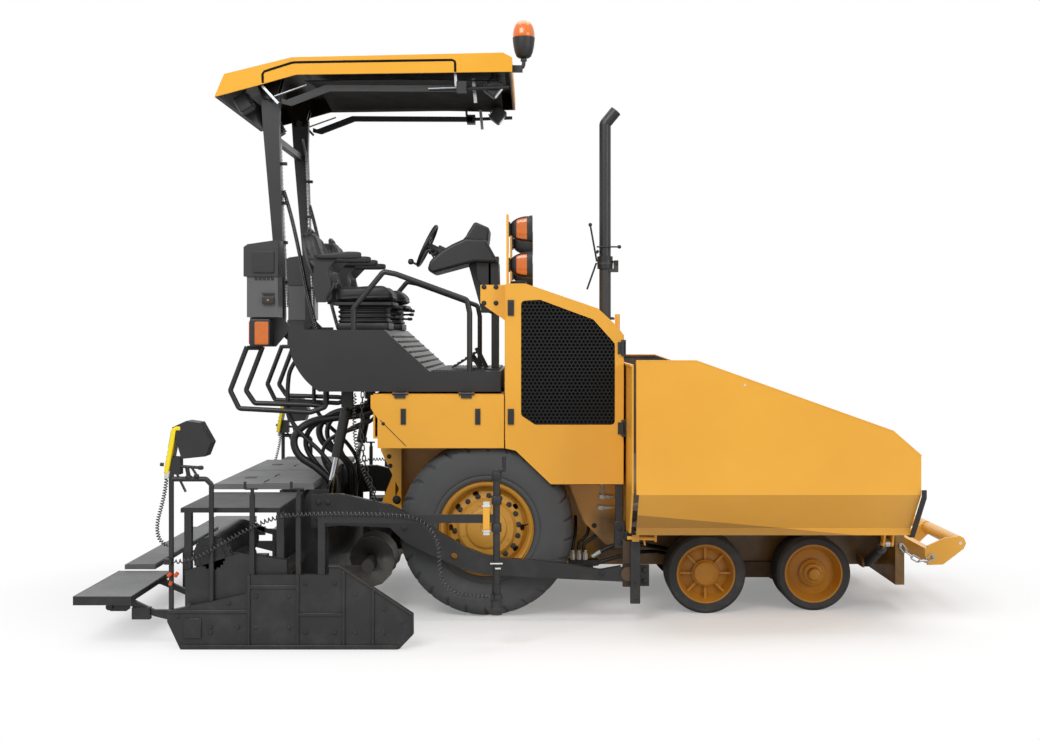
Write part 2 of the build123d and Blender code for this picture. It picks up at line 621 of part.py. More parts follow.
# Engine side doors and their perforated grilles
DOOR_LINE = [
    (hood_rear_x + door_gap, 1034), (-190, 1020), (24, 816), (464, 816), (467, 1721), (414, 1787), (311, 1883),
    (-130, 2034), (-222, 2034), (hood_rear_x + door_gap, 2014),
]
GRILLE_LINE = [(-157, 1234), (-71, 1177), (413, 1177), (413, 1670), (282, 1817), (-42, 1937), (-157, 1930)]
for side_name, side in SIDES:
    with BuildPart() as engine_door:
        door_in = panel_face_out - door_thick
        side_plate(DOOR_LINE, pair(side, door_in, panel_face_out))
        side_plate(GRILLE_LINE, pair(side, door_in - 1, panel_face_out + 1), Mode.SUBTRACT, corner=24)
        for hinge_low in DOOR_HINGE_Z:
            hinge_high = hinge_low + door_hinge_length
            block((430, DOOR_HINGE[0]), pair(side, panel_face_out - 1, DOOR_HINGE[1] - 3), (hinge_low, hinge_high))
            rod((DOOR_HINGE[0], side * DOOR_HINGE[1], hinge_low), (DOOR_HINGE[0], side * DOOR_HINGE[1], hinge_high), 10)
            rod((DOOR_HINGE[0], side * DOOR_HINGE[1], hinge_low), (DOOR_HINGE[0], side * DOOR_HINGE[1], hinge_high),
                5 + pin_gap, Mode.SUBTRACT)
        for latch_low in (1178, 1839):
            block((-238, -200), pair(side, panel_face_out - 2, panel_face_out + 7), (latch_low, latch_low + 96))
    engine_door.part.label = f"engine_door_{side_name}"
    export_step(engine_door.part, f"parts/engine_door_{side_name}.step")

    with BuildPart() as grille:
        grille_face = outline_face(Plane.XZ.offset(-max(side * (door_in + 4), side * (door_in + 12))), GRILLE_LINE, 24)
        inset = offset(grille_face, amount=-seat_gap, mode=Mode.PRIVATE)
        extrude(inset, amount=8)
        with BuildSketch(Plane.XZ.offset(-max(side * (door_in + 4), side * (door_in + 12)) - 1)) as holes:
            for row in range(8):
                for column in range(7):
                    hole_x = -105 + column * 76 + (row % 2) * 38
                    hole_z = 1225 + row * 84
                    if hole_x < 385 and hole_z < 1890 - 0.45 * max(hole_x + 20, 0) and hole_x + 0.5 * hole_z > 520:
                        with Locations((hole_x, hole_z)):
                            RegularPolygon(27, 6)
        extrude(holes.sketch, amount=-12, both=True, mode=Mode.SUBTRACT)
    grille.part.label = f"engine_grille_{side_name}"
    export_step(grille.part, f"parts/engine_grille_{side_name}.step")

# Side lockers over the drive wheels, open outboard behind their doors: hinge pins outboard and in Z, and in X
LOCKER_HINGE = (889.0, 1366.0)
LOCKER_HINGE_X = (-925.0, -522.0)
with BuildPart() as side_lockers:
    for _, side in SIDES:
        for hinge_x in LOCKER_HINGE_X:
            for low, high in ((hinge_x - 14, hinge_x - pin_gap), (hinge_x + 66 + pin_gap, hinge_x + 80)):
                block((low, high), pair(side, 840, LOCKER_HINGE[0]), (1358, 1374))
                rod((low, side * LOCKER_HINGE[0], LOCKER_HINGE[1]), (high, side * LOCKER_HINGE[0], LOCKER_HINGE[1]), 8)
            rod((hinge_x - 14, side * LOCKER_HINGE[0], LOCKER_HINGE[1]),
                (hinge_x + 80, side * LOCKER_HINGE[0], LOCKER_HINGE[1]), 4)
        block((-1058, -265), pair(side, locker_in, panel_face_out - door_thick - 2),
              (locker_floor_z, platform_under_z - seat_gap - 12))
        block((-1046, -277), pair(side, locker_in + 12, panel_face_out), (locker_floor_z + 12, platform_under_z - 26),
              Mode.SUBTRACT)
side_lockers.part.label = "side_lockers"
export_step(side_lockers.part, "parts/side_lockers.step")

LOCKER_LINE = [(-1071, 1279), (-1029, 1216), (-1029, 1035), (-261, 1035), (-261, 1357), (-1071, 1357)]
for side_name, side in SIDES:
    with BuildPart() as locker_door:
        side_plate(LOCKER_LINE, pair(side, panel_face_out - door_thick, panel_face_out))
        for hinge_x in LOCKER_HINGE_X:
            block((hinge_x, hinge_x + 66), pair(side, panel_face_out - 1, LOCKER_HINGE[0]), (1338, LOCKER_HINGE[1] - 5))
            rod((hinge_x, side * LOCKER_HINGE[0], LOCKER_HINGE[1]), (hinge_x + 66, side * LOCKER_HINGE[0], LOCKER_HINGE[1]),
                8)
            rod((hinge_x, side * LOCKER_HINGE[0], LOCKER_HINGE[1]), (hinge_x + 66, side * LOCKER_HINGE[0], LOCKER_HINGE[1]),
                4 + pin_gap, Mode.SUBTRACT)
        for latch_x in (-888, -436):
            block((latch_x, latch_x + 32), pair(side, panel_face_out - 2, panel_face_out + 7), (1178, 1275))
    locker_door.part.label = f"locker_door_{side_name}"
    export_step(locker_door.part, f"parts/locker_door_{side_name}.step")

# Operator's platform: floor, raised seat deck, a curved rear sheet and the canopy mast's lugs
with BuildPart() as platform:
    with BuildSketch(Plane.XZ.offset(-platform_out)) as shell:
        with BuildLine():
            Polyline((-283, platform_under_z), (-283, platform_floor_z), (-720, platform_floor_z),
                     (-1000, seat_deck_z), (-1585, seat_deck_z))
            ThreePointArc((-1585, seat_deck_z), (-1545, 1540), (-1397, platform_under_z))
            Line((-1397, platform_under_z), (-283, platform_under_z))
        make_face()
    extrude(shell.sketch, amount=2 * platform_out)
    with BuildSketch(Plane.XZ.offset(-platform_out + 20)) as hollow:
        with BuildLine():
            Polyline((-303, platform_under_z - 1), (-303, platform_floor_z - 20), (-728, platform_floor_z - 20),
                     (-1008, seat_deck_z - 20), (-1560, seat_deck_z - 20))
            ThreePointArc((-1560, seat_deck_z - 20), (-1522, 1545), (-1375, platform_under_z - 1))
            Line((-1375, platform_under_z - 1), (-303, platform_under_z - 1))
        make_face()
    extrude(hollow.sketch, amount=2 * (platform_out - 20), mode=Mode.SUBTRACT)
    block((frame_rear_x, -303), (-490, 490), (platform_under_z, platform_under_z + 12))
    for _, side in SIDES:
        for ear in (mast_out - 52, mast_out + 36):
            lug = [(-1570, 1640), (-1570, 1740), (mast_pivot[0] - 30, 1822), (mast_pivot[0] - 40, 1770)]
            side_plate(lug, pair(side, ear, ear + 16))
        rod((mast_pivot[0], side * (mast_out - 52), mast_pivot[1]),
            (mast_pivot[0], side * (mast_out + 52), mast_pivot[1]), 14)
        for ear in (-34, 22):
            block((LIFT_FOOT[0] - 34, LIFT_FOOT[0] + 34), pair(side, lift_out + ear, lift_out + ear + 12),
                  (LIFT_FOOT[1] - 30, platform_under_z + 60))
        block((LIFT_FOOT[0] - 34, LIFT_FOOT[0] + 34), pair(side, lift_out - 34, platform_out - 10),
              (platform_under_z + 40, platform_under_z + 60))
        rod((LIFT_FOOT[0], side * (lift_out - 34), LIFT_FOOT[1]), (LIFT_FOOT[0], side * (lift_out + 34), LIFT_FOOT[1]),
            13)
    block((-372, -303), (-560, 620), (platform_floor_z, rail_top_z))
platform.part.label = "platform"
export_step(platform.part, "parts/platform.step")

# Seat stands with their suspension, and the armrests; the seats themselves are padded forms
with BuildPart() as seat_stands:
    for _, side in SIDES:
        for seat_side in (-1, 1):
            arm_y = side * seat_out + seat_side * (seat_width / 2 + 22)
            block((-1440, -1150), (arm_y - 22, arm_y + 22), (2200, 2235))
            block((-1440, -1405), (arm_y - 14, arm_y + 14), (1912, 2200))
            block((-1430, -1300), (min(arm_y, side * seat_out), max(arm_y, side * seat_out)), (1912, 1926))
        block((-1320, -990), (side * seat_out - 170, side * seat_out + 170), (seat_deck_z, 1800))
        for fold in range(4):
            low = 1800 + fold * 28
            block((-1300 + 4 * (fold % 2), -1010), (side * seat_out - 150, side * seat_out + 150), (low, low + 28))
        block((-1345, -960), (side * seat_out - 200, side * seat_out + 200), (1912, 1926))
seat_stands.part.label = "seat_stands"
export_step(seat_stands.part, "parts/seat_stands.step")

with BuildPart() as seats:
    for _, side in SIDES:
        y_span = (side * seat_out - seat_width / 2 + 10, side * seat_out + seat_width / 2 - 10)
        cushion = [(-1350, 1926.3), (-970, 1926.3), (-945, 1960), (-950, 2005), (-985, 2022), (-1300, 1990), (-1350, 1985)]
        side_plate(cushion, y_span)
        back = [(-1362, 1990), (-1352, 2040), (-1440, 2380), (-1475, 2400), (-1510, 2385), (-1400, 1985)]
        side_plate(back, (y_span[0] + 10, y_span[1] - 10))
        block((-1361, -1349), (side * seat_out - 60, side * seat_out + 60), (1940, 2010))
seats.part.label = "seats"
export_step(seats.part, "parts/seats.step")

# Hand rails beside the steps and the guard loops behind the seats
with BuildPart() as hand_rails:
    for _, side in SIDES:
        rail_y = side * 782
        bent_tube([(-1186, rail_y, seat_deck_z + seat_gap), (-1186, rail_y, 1890), (-1003, rail_y, 2112),
                   (-930, rail_y, 2098), (-490, rail_y, 1938), (-474, rail_y, 1860),
                   (-474, rail_y, platform_floor_z + seat_gap)], rail_radius, 30)
        for loop_y, inset in ((600, 0), (560, 90)):
            bent_tube([(-1880 + inset, side * loop_y, 1650), (-1985 + inset, side * loop_y, 1374),
                       (-1930 + inset, side * loop_y, 1262 + inset * 0.35),
                       (-1480, side * loop_y, 1238 + inset * 0.5), (-1386, side * loop_y, 1272),
                       (-1386, side * loop_y, platform_under_z - seat_gap)], 16, 24)
        rod((-1878, side * 600, 1642), (-1790, side * 560, 1642), 14)
hand_rails.part.label = "hand_rails"
export_step(hand_rails.part, "parts/hand_rails.step")

# Rear cabinets beside the mast, on brackets from the platform
with BuildPart() as rear_cabinets:
    for _, side in SIDES:
        low_out, high_out = cabinet_span
        upper = [(-1860, 2082), (-1648, 2082), (-1648, 2307), (-1835, 2280), (-1860, 2262)]
        side_plate(upper, pair(side, low_out, high_out))
        lower = [(-1842, 1832), (-1652, 1832), (-1652, 2082), (-1842, 2082)]
        side_plate(lower, pair(side, low_out + 12, high_out - 12))
        bracket = [(-1850, 1650), (-1690, 1650), (-1600, 1756), (-1600, 1780), (-1652, 1832), (-1850, 1832)]
        side_plate(bracket, pair(side, low_out + 20, low_out + 36))
        block((-1652, -1520), pair(side, low_out + 20, low_out + 36), (seat_deck_z + seat_gap, 1780))
rear_cabinets.part.label = "rear_cabinets"
export_step(rear_cabinets.part, "parts/rear_cabinets.step")

# Head, turn and tail lamps
with BuildPart() as lamps:
    for _, side in SIDES:
        for low, high in ((2250, 2468), (2078, 2242)):
            housing = [(-236 + seat_gap, low + 8), (-236 + seat_gap, high - 30), (-205, high), (-86, high),
                       (-86, low + 20), (-110, low), (-220, low)]
            side_plate(housing, pair(side, 590, 720))
        block((-1825, -1700), pair(side, cabinet_span[0] + 36 + seat_gap, cabinet_span[1] - 4), (1652, 1822))
lamps.part.label = "lamps"
export_step(lamps.part, "parts/lamps.step")

# Steering console on its cross slide, and its wheel
console_span = (console_y - console_width / 2, console_y + console_width / 2)
WHEEL_CENTRE = (-772.0, 2302.0)
WHEEL_AXIS = (-0.903, 0.429)
with BuildPart() as console:
    head = [(-757, 2137), (-668, 2287), (-511, 2354), (-452, 2446), (-362, 2406), (-369, 2302), (-302, 2182),
            (-459, 2185), (-534, 2167), (-727, 2115)]
    side_plate(head, console_span)
    leg = [(-500, 2170), (-420, 1885), (-354, 1860), (-354, 1512), (-306, 1512), (-306, 2230), (-460, 2230)]
    side_plate(leg, (console_y - 60, console_y + 60))
    column_low = 95.0
    column_end = (WHEEL_CENTRE[0] - WHEEL_AXIS[0] * column_low, console_y, WHEEL_CENTRE[1] - WHEEL_AXIS[1] * column_low)
    column_top = (WHEEL_CENTRE[0] - WHEEL_AXIS[0] * 24, console_y, WHEEL_CENTRE[1] - WHEEL_AXIS[1] * 24)
    rod(column_end, column_top, 26)
console.part.label = "console"
export_step(console.part, "parts/console.step")

wheel_plane = Plane(origin=(WHEEL_CENTRE[0], console_y, WHEEL_CENTRE[1]), x_dir=(0, 1, 0),
                    z_dir=(WHEEL_AXIS[0], 0, WHEEL_AXIS[1]))
with BuildPart() as steering_wheel:
    with BuildSketch(Plane(origin=wheel_plane.from_local_coords((138, 0, 0)), x_dir=wheel_plane.x_dir,
                           z_dir=wheel_plane.y_dir)) as rim_section:
        Circle(12)
    revolve(rim_section.sketch, axis=Axis(wheel_plane.origin, wheel_plane.z_dir), revolution_arc=360)
    with BuildSketch(wheel_plane.offset(-6)) as spokes:
        Circle(30)
        with PolarLocations(82, 3, start_angle=90):
            Rectangle(108, 26)
    extrude(spokes.sketch, amount=12)
    with BuildSketch(wheel_plane.offset(-23.7)) as wheel_hub:
        Circle(24)
    extrude(wheel_hub.sketch, amount=22)
steering_wheel.part.label = "steering_wheel"
export_step(steering_wheel.part, "parts/steering_wheel.step")

# Canopy mast: two leaning posts with a cross tie, hinged at the foot
with BuildPart() as canopy_mast:
    for _, side in SIDES:
        foot_x, foot_z = mast_pivot
        head_x, head_z = roof_pivot
        post = [
            (foot_x - 26, foot_z - 20), (foot_x + 26, foot_z - 20), (foot_x + 30, foot_z + 60), (head_x + 55, 3010),
            (head_x + 60, head_z + 10), (head_x - 60, head_z + 10), (head_x - 45, 3010), (foot_x - 28, foot_z + 300),
        ]
        side_plate(post, pair(side, mast_out - 28, mast_out + 28))
        rod((foot_x, side * (mast_out - 60), foot_z), (foot_x, side * (mast_out + 60), foot_z),
            14 + pin_gap, Mode.SUBTRACT)
        rod((head_x, side * (mast_out - 44), head_z - 8), (head_x, side * (mast_out + 44), head_z - 8), 12)
    block((roof_pivot[0] - 20, roof_pivot[0] + 20), (-mast_out, mast_out), (2960, 3000))
canopy_mast.part.label = "canopy_mast"
export_step(canopy_mast.part, "parts/canopy_mast.step")

# Canopy roof: a shallow moulded shell with a raked rear end
ROOF_LINE = [(-2056, 3196), (-1996, 3338), (-1577, 3441), (-270, 3470), (-214, 3440), (-214, 3352), (-1551, 3334),
             (-1761, 3275)]
with BuildPart() as canopy_roof:
    side_plate(ROOF_LINE, (-roof_out, roof_out))
    under = [(-2040, 3180), (-1985, 3322), (-1574, 3423), (-272, 3452), (-232, 3425), (-232, 3340), (-1551, 3320),
             (-1761, 3255)]
    side_plate(under, (-roof_out + 18, roof_out - 18), Mode.SUBTRACT)
    for _, side in SIDES:
        ears = [(roof_pivot[0] - 40, roof_pivot[1] - 30), (roof_pivot[0] + 40, roof_pivot[1] - 30),
                (roof_pivot[0] + 100, 3425), (roof_pivot[0] - 120, 3380)]
        for ear in (mast_out - 44, mast_out + 34):
            side_plate(ears, pair(side, ear, ear + 10))
        rod((roof_pivot[0], side * (mast_out - 50), roof_pivot[1] - 8),
            (roof_pivot[0], side * (mast_out + 50), roof_pivot[1] - 8), 12 + pin_gap, Mode.SUBTRACT)
canopy_roof.part.label = "canopy_roof"
export_step(canopy_roof.part, "parts/canopy_roof.step")

# Square work lights under the roof
with BuildPart() as work_lights:
    for _, side in SIDES:
        for low_x, low_z, stalk_top_z in ((-1960, 3130, 3337.5), (-390, 3230, 3449.9)):
            block((low_x, low_x + 105), pair(side, 480, 600), (low_z, low_z + 95))
            block((low_x + 40, low_x + 60), pair(side, 530, 550), (low_z + 95, stalk_top_z))
work_lights.part.label = "work_lights"
export_step(work_lights.part, "parts/work_lights.step")

# Warning beacon on its stalk beside the front edge of the roof
with BuildPart() as beacon:
    block((-214 + seat_gap, -150), (-620, -590), (3370, 3412))
    rod((-143, -605, 3370), (-143, -605, 3480), 14)
    rod((-143, -605, 3480), (-143, -605, 3582), 62)
    rod((-143, -605, 3582), (-143, -605, 3694), 70)
beacon.part.label = "beacon"
export_step(beacon.part, "parts/beacon.step")

# Augers: a shaft with a helical flight of opposite hand on each side, carried by a centre case
flight_steps = 12
flight_turns = (auger_out - auger_in - 40) / auger_pitch
for side_name, side in SIDES:
    with BuildPart() as auger:
        sections = []
        for step in range(int(flight_turns * flight_steps) + 1):
            angle = side * 2 * pi * step / flight_steps
            along_y = side * (auger_in + 20 + auger_pitch * step / flight_steps)
            radial = Vector(cos(angle), 0, sin(angle))
            origin = Vector(auger_x, along_y, auger_z) + radial * ((auger_shaft_radius - 8 + auger_radius) / 2)
            plane = Plane(origin=origin, x_dir=radial, z_dir=radial.cross(Vector(0, 1, 0)))
            with BuildSketch(plane) as section:
                Rectangle(auger_radius - auger_shaft_radius + 8, flight_thick)
            sections.append(section.sketch)
        loft(sections, ruled=True)
        rod((auger_x, side * auger_in, auger_z), (auger_x, side * auger_out, auger_z), auger_shaft_radius)
        rod((auger_x, side * (auger_in - 1), auger_z), (auger_x, side * (auger_in + 36), auger_z),
            20 + pin_gap, Mode.SUBTRACT)
    auger.part.label = f"auger_{side_name}"
    export_step(auger.part, f"parts/auger_{side_name}.step")

# Centre case and end hangers that carry the augers
with BuildPart() as auger_drive:
    case_out = auger_in - moving_gap
    block((auger_x - 70, auger_x + 70), (-case_out, case_out), (210, 640))
    block((auger_x - 40, frame_rear_x - 75.3), (-262, 262), (560, 618))
    rod((auger_x, -auger_in - 30, auger_z), (auger_x, auger_in + 30, auger_z), 20)
auger_drive.part.label = "auger_drive"
export_step(auger_drive.part, "parts/auger_drive.step")

# Tow arms outside the drive wheels, from the tow pins back to the screed
ARM_TOP = [(-948, 700), (-843, 647), (-584, 498), (-495, 445), (-382, 401), (-261, 376), (-99, 368), (120, 344),
           (320, 308), (445, 330)]
ARM_BOTTOM = [(445, 240), (455, 237), (78, 255), (-220, 271), (-382, 280), (-495, 304), (-624, 368), (-705, 401),
              (-851, 473), (-948, 563), (-1240, 575), (-1420, 560), (-1420, 760), (-1240, 765)]
with BuildPart() as tow_arms:
    for _, side in SIDES:
        span = pair(side, arm_in, arm_in + arm_thick)
        side_plate(ARM_TOP + ARM_BOTTOM[1:], span)
        rod((tow_pin_x, span[0], tow_pin_z), (tow_pin_x, span[1], tow_pin_z), 48)
        rod((tow_pin_x, side * (arm_in - 2), tow_pin_z), (tow_pin_x, side * (arm_in + arm_thick + 2), tow_pin_z),
            tow_pin_radius + pin_gap, Mode.SUBTRACT)
        rod((-560, side * (arm_in - 2), 390), (-560, side * (arm_in + arm_thick + 2), 390), 20, Mode.SUBTRACT)
        block((-1420, -1352), pair(side, screed_out + seat_gap, arm_in), (600, 740))
tow_arms.part.label = "tow_arms"
export_step(tow_arms.part, "parts/tow_arms.step")

# Main screed: bottom plate, front and rear walls, side plates with bores for the extension tubes
with BuildPart() as screed_frame:
    block((screed_rear_x, screed_front_x), (-screed_out, screed_out), (0, 30))
    nose = [(screed_front_x - 20, 30), (screed_front_x, 30), (screed_front_x, 520), (screed_front_x - 20, 520)]
    side_plate(nose, (-screed_out, screed_out))
    block((screed_rear_x, screed_rear_x + 16), (-screed_out, screed_out), (30, 300))
    block((screed_rear_x, screed_front_x), (-screed_out, screed_out), (440, 456))
    for _, side in SIDES:
        cheek = [(screed_rear_x, 0), (screed_front_x, 0), (screed_front_x, 780), (-1442, 780), (screed_rear_x, 456)]
        side_plate(cheek, pair(side, screed_out - 20, screed_out))
        block((screed_rear_x + 16, screed_front_x - 20), pair(side, 400, 412), (30, 440))
        for wall_out in (screed_out - 30, 398):
            rod((guide_tube_x, side * wall_out, guide_tube_z), (guide_tube_x, side * (wall_out + 40), guide_tube_z),
                guide_tube_radius + pin_gap, Mode.SUBTRACT)
    block((-1442, -1422), (-screed_out, screed_out), (456, 780))
    for _, side in SIDES:
        for ear, head in ((-34, -40), (22, 34)):
            block((LIFT_EYE[0] - 36, LIFT_EYE[0] + 30), pair(side, lift_out + ear, lift_out + ear + 12),
                  (450, LIFT_EYE[1] + 28))
            rod((LIFT_EYE[0], side * (lift_out + head), LIFT_EYE[1]),
                (LIFT_EYE[0], side * (lift_out + head + 6), LIFT_EYE[1]), 19)
    block((screed_rear_x - 400, screed_rear_x), (-70, 70), (40, 70))
    block((-2420, -2040), (-70, 70), (40, 70))
    block((-2420, -2390), (-70, 70), (40, 291.7))
screed_frame.part.label = "screed_frame"
export_step(screed_frame.part, "parts/screed_frame.step")

# Decks and walkway carried by the main screed
with BuildPart() as screed_decks:
    block((-2035, -1422), (-838, 838), (780.3, screed_deck_z))
    block((-2577, -2390), (-838, 838), (292, 320))
screed_decks.part.label = "screed_decks"
export_step(screed_decks.part, "parts/screed_decks.step")

# Lift cylinders from the platform to the main screed, both sides on one axis
lift_run = (LIFT_EYE[0] - LIFT_FOOT[0], LIFT_EYE[1] - LIFT_FOOT[1])
lift_reach = hypot(*lift_run)


def lift_point(side, distance):
    """A point on a lift cylinder's axis, measured from its upper pin."""
    return (LIFT_FOOT[0] + lift_run[0] * distance / lift_reach, side * lift_out,
            LIFT_FOOT[1] + lift_run[1] * distance / lift_reach)


with BuildPart() as lift_barrels:
    for _, side in SIDES:
        rod(lift_point(side, 50), lift_point(side, 350), lift_barrel_radius)
        rod(lift_point(side, 16), lift_point(side, 55), 16)
        rod((LIFT_FOOT[0], side * (lift_out - 16), LIFT_FOOT[1]), (LIFT_FOOT[0], side * (lift_out + 16), LIFT_FOOT[1]), 30)
        rod(lift_point(side, 60), lift_point(side, 355), 18 + pin_gap, Mode.SUBTRACT)
        rod((LIFT_FOOT[0], side * (lift_out - 20), LIFT_FOOT[1]), (LIFT_FOOT[0], side * (lift_out + 20), LIFT_FOOT[1]),
            13 + pin_gap, Mode.SUBTRACT)
lift_barrels.part.label = "lift_cylinder_barrels"
export_step(lift_barrels.part, "parts/lift_cylinder_barrels.step")

with BuildPart() as lift_rods:
    for _, side in SIDES:
        rod(lift_point(side, 345), lift_point(side, lift_reach - 20), 18)
        rod((LIFT_EYE[0], side * (lift_out - 14), LIFT_EYE[1]), (LIFT_EYE[0], side * (lift_out + 14), LIFT_EYE[1]), 28)
        rod((LIFT_EYE[0], side * (lift_out - 21.7), LIFT_EYE[1]),
            (LIFT_EYE[0], side * (lift_out + 21.7), LIFT_EYE[1]), 13)
lift_rods.part.label = "lift_cylinder_rods"
export_step(lift_rods.part, "parts/lift_cylinder_rods.step")

# Hydraulic extensions with end gates, guide tubes, upper deck, rear walkway and vibrator housings
GATE_LINE = [(-2017, 0), (-816, 0), (-742, 77), (-742, 188), (-1144, 454), (-1200, 454), (-1200, 406), (-1627, 406),
             (-1660, 300), (-2088, 209), (-2088, 150)]
for side_name, side in SIDES:
    with BuildPart() as extension:
        block((extension_rear_x, extension_front_x), pair(side, extension_in, end_plate_out - 60), (0, 30))
        block((extension_rear_x, extension_front_x), pair(side, extension_in, end_plate_out - 60), (30, 300))
        block((extension_rear_x + 40, extension_front_x - 20), pair(side, extension_in + 30, end_plate_out - 60), (300, 400))
        end_plate = [(extension_rear_x, 0), (-1440, 0), (-1440, 480), (-1700, 520), (extension_rear_x, 420)]
        side_plate(end_plate, pair(side, end_plate_out - 60, end_plate_out))
        rod((guide_tube_x, side * guide_tube_in, guide_tube_z), (guide_tube_x, side * end_plate_out, guide_tube_z),
            guide_tube_radius)
        rod((-1850, side * (extension_in + 60), 500), (-1850, side * (end_plate_out - 20), 500), 110)
        rod((-1720, side * (end_plate_out - 300), 470), (-1720, side * (end_plate_out - 20), 470), 55)
        block((-2030, -1480), pair(side, extension_in + 8, end_plate_out - 20), (740, 764))
        for post_x in (-1990, -1480):
            block((post_x - 20, post_x + 20), pair(side, end_plate_out - 60, end_plate_out - 20), (400, 740))
        block((walk_edge_x, -2284), pair(side, extension_in, end_plate_out + gate_thick), (257, 285))
        for arm_out in (extension_in + 90, end_plate_out - 60):
            arm = [(extension_rear_x, 120), (extension_rear_x, 200), (-2180, 200), (-2300, 257), (-2480, 257),
                   (-2480, 240), (-2320, 225), (-2180, 165)]
            side_plate(arm, pair(side, arm_out, arm_out + 24))
        side_plate(GATE_LINE, pair(side, end_plate_out, end_plate_out + gate_thick))
        for post_x in (-1639, -1385):
            block((post_x, post_x + 26), pair(side, end_plate_out + 4, end_plate_out + 30), (400, 844))
    extension.part.label = f"screed_extension_{side_name}"
    export_step(extension.part, f"parts/screed_extension_{side_name}.step")

# Grade sensor: its mast's radius, low and high ends, and the curly cable's route in X and Z
SENSOR_X = -284.0
SENSOR_MAST = ((32, 187, 300), (24, 300, 351), (19, 351, 981))
SENSOR_CABLE = (
    (-2059.7, 480), (-1965, 480), (-1840, 548), (-1660, 650), (-1480, 735), (-1180, 742), (-900, 738), (-690, 716),
    (-592, 580), (-600, 420), (-535, 310), (-410, 288), (-318.3, 288),
)
cable_out = end_plate_out + 34 + sensor_cable_radius + seat_gap
GATE_TOP_Z = 406.0

# Outboard controls on each extension: display on its post, the hand tube, the grade sensor and its cable
for side_name, side in SIDES:
    with BuildPart() as controls:
        control_y = side * (end_plate_out + 20)
        rod((-2070, control_y, 216.2), (-2070, control_y, 965), 14)
        bent_tube([(-2070, control_y, 930), (-1880, control_y, 930), (-1850, control_y, 900), (-1850, control_y, 263)],
                  14, 20)
        display = [(-2061, 1215), (-1985, 1250), (-1912, 1240), (-1850, 1130), (-1880, 1055), (-2010, 1042)]
        side_plate(display, pair(side, end_plate_out - 90, end_plate_out + gate_thick))
        plate = [(-2061, 1209), (-2040, 1209), (-2085, 965), (-2105, 965)]
        side_plate(plate, pair(side, end_plate_out - 60, end_plate_out + gate_thick))
        block((-2085, -2020), pair(side, end_plate_out - 40, end_plate_out + 30), (955, 1052))
        arm_span = pair(side, end_plate_out + 8, end_plate_out + 34)
        block((-1263, -352), arm_span, (690, 735))
        block((-1263, -1225), arm_span, (GATE_TOP_Z + seat_gap, 690))
        block((-352, -319), pair(side, end_plate_out + 2, end_plate_out + gate_thick), (675, 750))
        block((-319, SENSOR_X), pair(side, end_plate_out + 8, end_plate_out + 32), (690, 735))
        for radius, low, high in SENSOR_MAST:
            rod((SENSOR_X, control_y, low), (SENSOR_X, control_y, high), radius)
        cable_side = pair(side, end_plate_out + 30, cable_out + sensor_cable_radius)
        block((SENSOR_CABLE[0][0] - 40, SENSOR_CABLE[0][0] - seat_gap), cable_side, (465, 495))
        block((SENSOR_CABLE[-1][0] + seat_gap, SENSOR_X - 14), cable_side, (274, 302))
    controls.part.label = f"screed_controls_{side_name}"
    export_step(controls.part, f"parts/screed_controls_{side_name}.step")

    with BuildPart() as sensor_cable:
        route = [(x, side * cable_out, z) for x, z in SENSOR_CABLE]
        bent_tube(route, sensor_cable_radius, corner_radii(route))
    sensor_cable.part.label = f"sensor_cable_{side_name}"
    export_step(sensor_cable.part, f"parts/sensor_cable_{side_name}.step")
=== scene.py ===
"""Looks of the small wheeled asphalt paver, in metres: finer pieces, finishes, studio and camera."""

from math import pi, radians

import bpy
import numpy as np
from mathutils import Matrix, Vector


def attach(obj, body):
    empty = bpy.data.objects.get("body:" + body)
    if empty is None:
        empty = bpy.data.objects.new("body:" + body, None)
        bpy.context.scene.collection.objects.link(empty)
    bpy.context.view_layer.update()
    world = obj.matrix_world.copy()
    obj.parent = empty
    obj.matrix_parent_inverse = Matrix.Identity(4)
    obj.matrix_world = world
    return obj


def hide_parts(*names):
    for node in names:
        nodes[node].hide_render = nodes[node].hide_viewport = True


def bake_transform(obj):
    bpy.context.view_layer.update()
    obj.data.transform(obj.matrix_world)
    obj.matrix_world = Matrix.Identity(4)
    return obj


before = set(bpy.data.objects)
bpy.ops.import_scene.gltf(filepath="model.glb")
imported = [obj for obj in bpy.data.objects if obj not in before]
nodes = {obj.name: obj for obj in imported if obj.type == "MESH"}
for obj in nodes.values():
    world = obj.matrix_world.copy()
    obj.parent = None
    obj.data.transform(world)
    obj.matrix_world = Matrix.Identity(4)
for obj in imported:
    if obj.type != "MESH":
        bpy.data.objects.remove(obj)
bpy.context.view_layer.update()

# Right side is -Y. Each row: name ending, sign of Y.
SIDES = (("right", -1.0), ("left", 1.0))


# mesh helpers
def new_object(name, mesh, material, body, smooth_deg=35.0):
    """A mesh object at the origin with a finish, riding on a body, or on none where it blends two."""
    mesh.validate()
    mesh.polygons.foreach_set("use_smooth", np.ones(len(mesh.polygons), dtype=bool))
    mesh.set_sharp_from_angle(angle=radians(smooth_deg))
    mesh.materials.append(material)
    piece = bpy.data.objects.new(name, mesh)
    bpy.context.scene.collection.objects.link(piece)
    if body:
        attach(piece, body)
    return piece


def add_piece(name, parts, material, body, smooth_deg=35.0):
    """A new object made of parts joined in one mesh."""
    return new_object(name, mesh_from(name, *merge(parts)), material, body, smooth_deg)


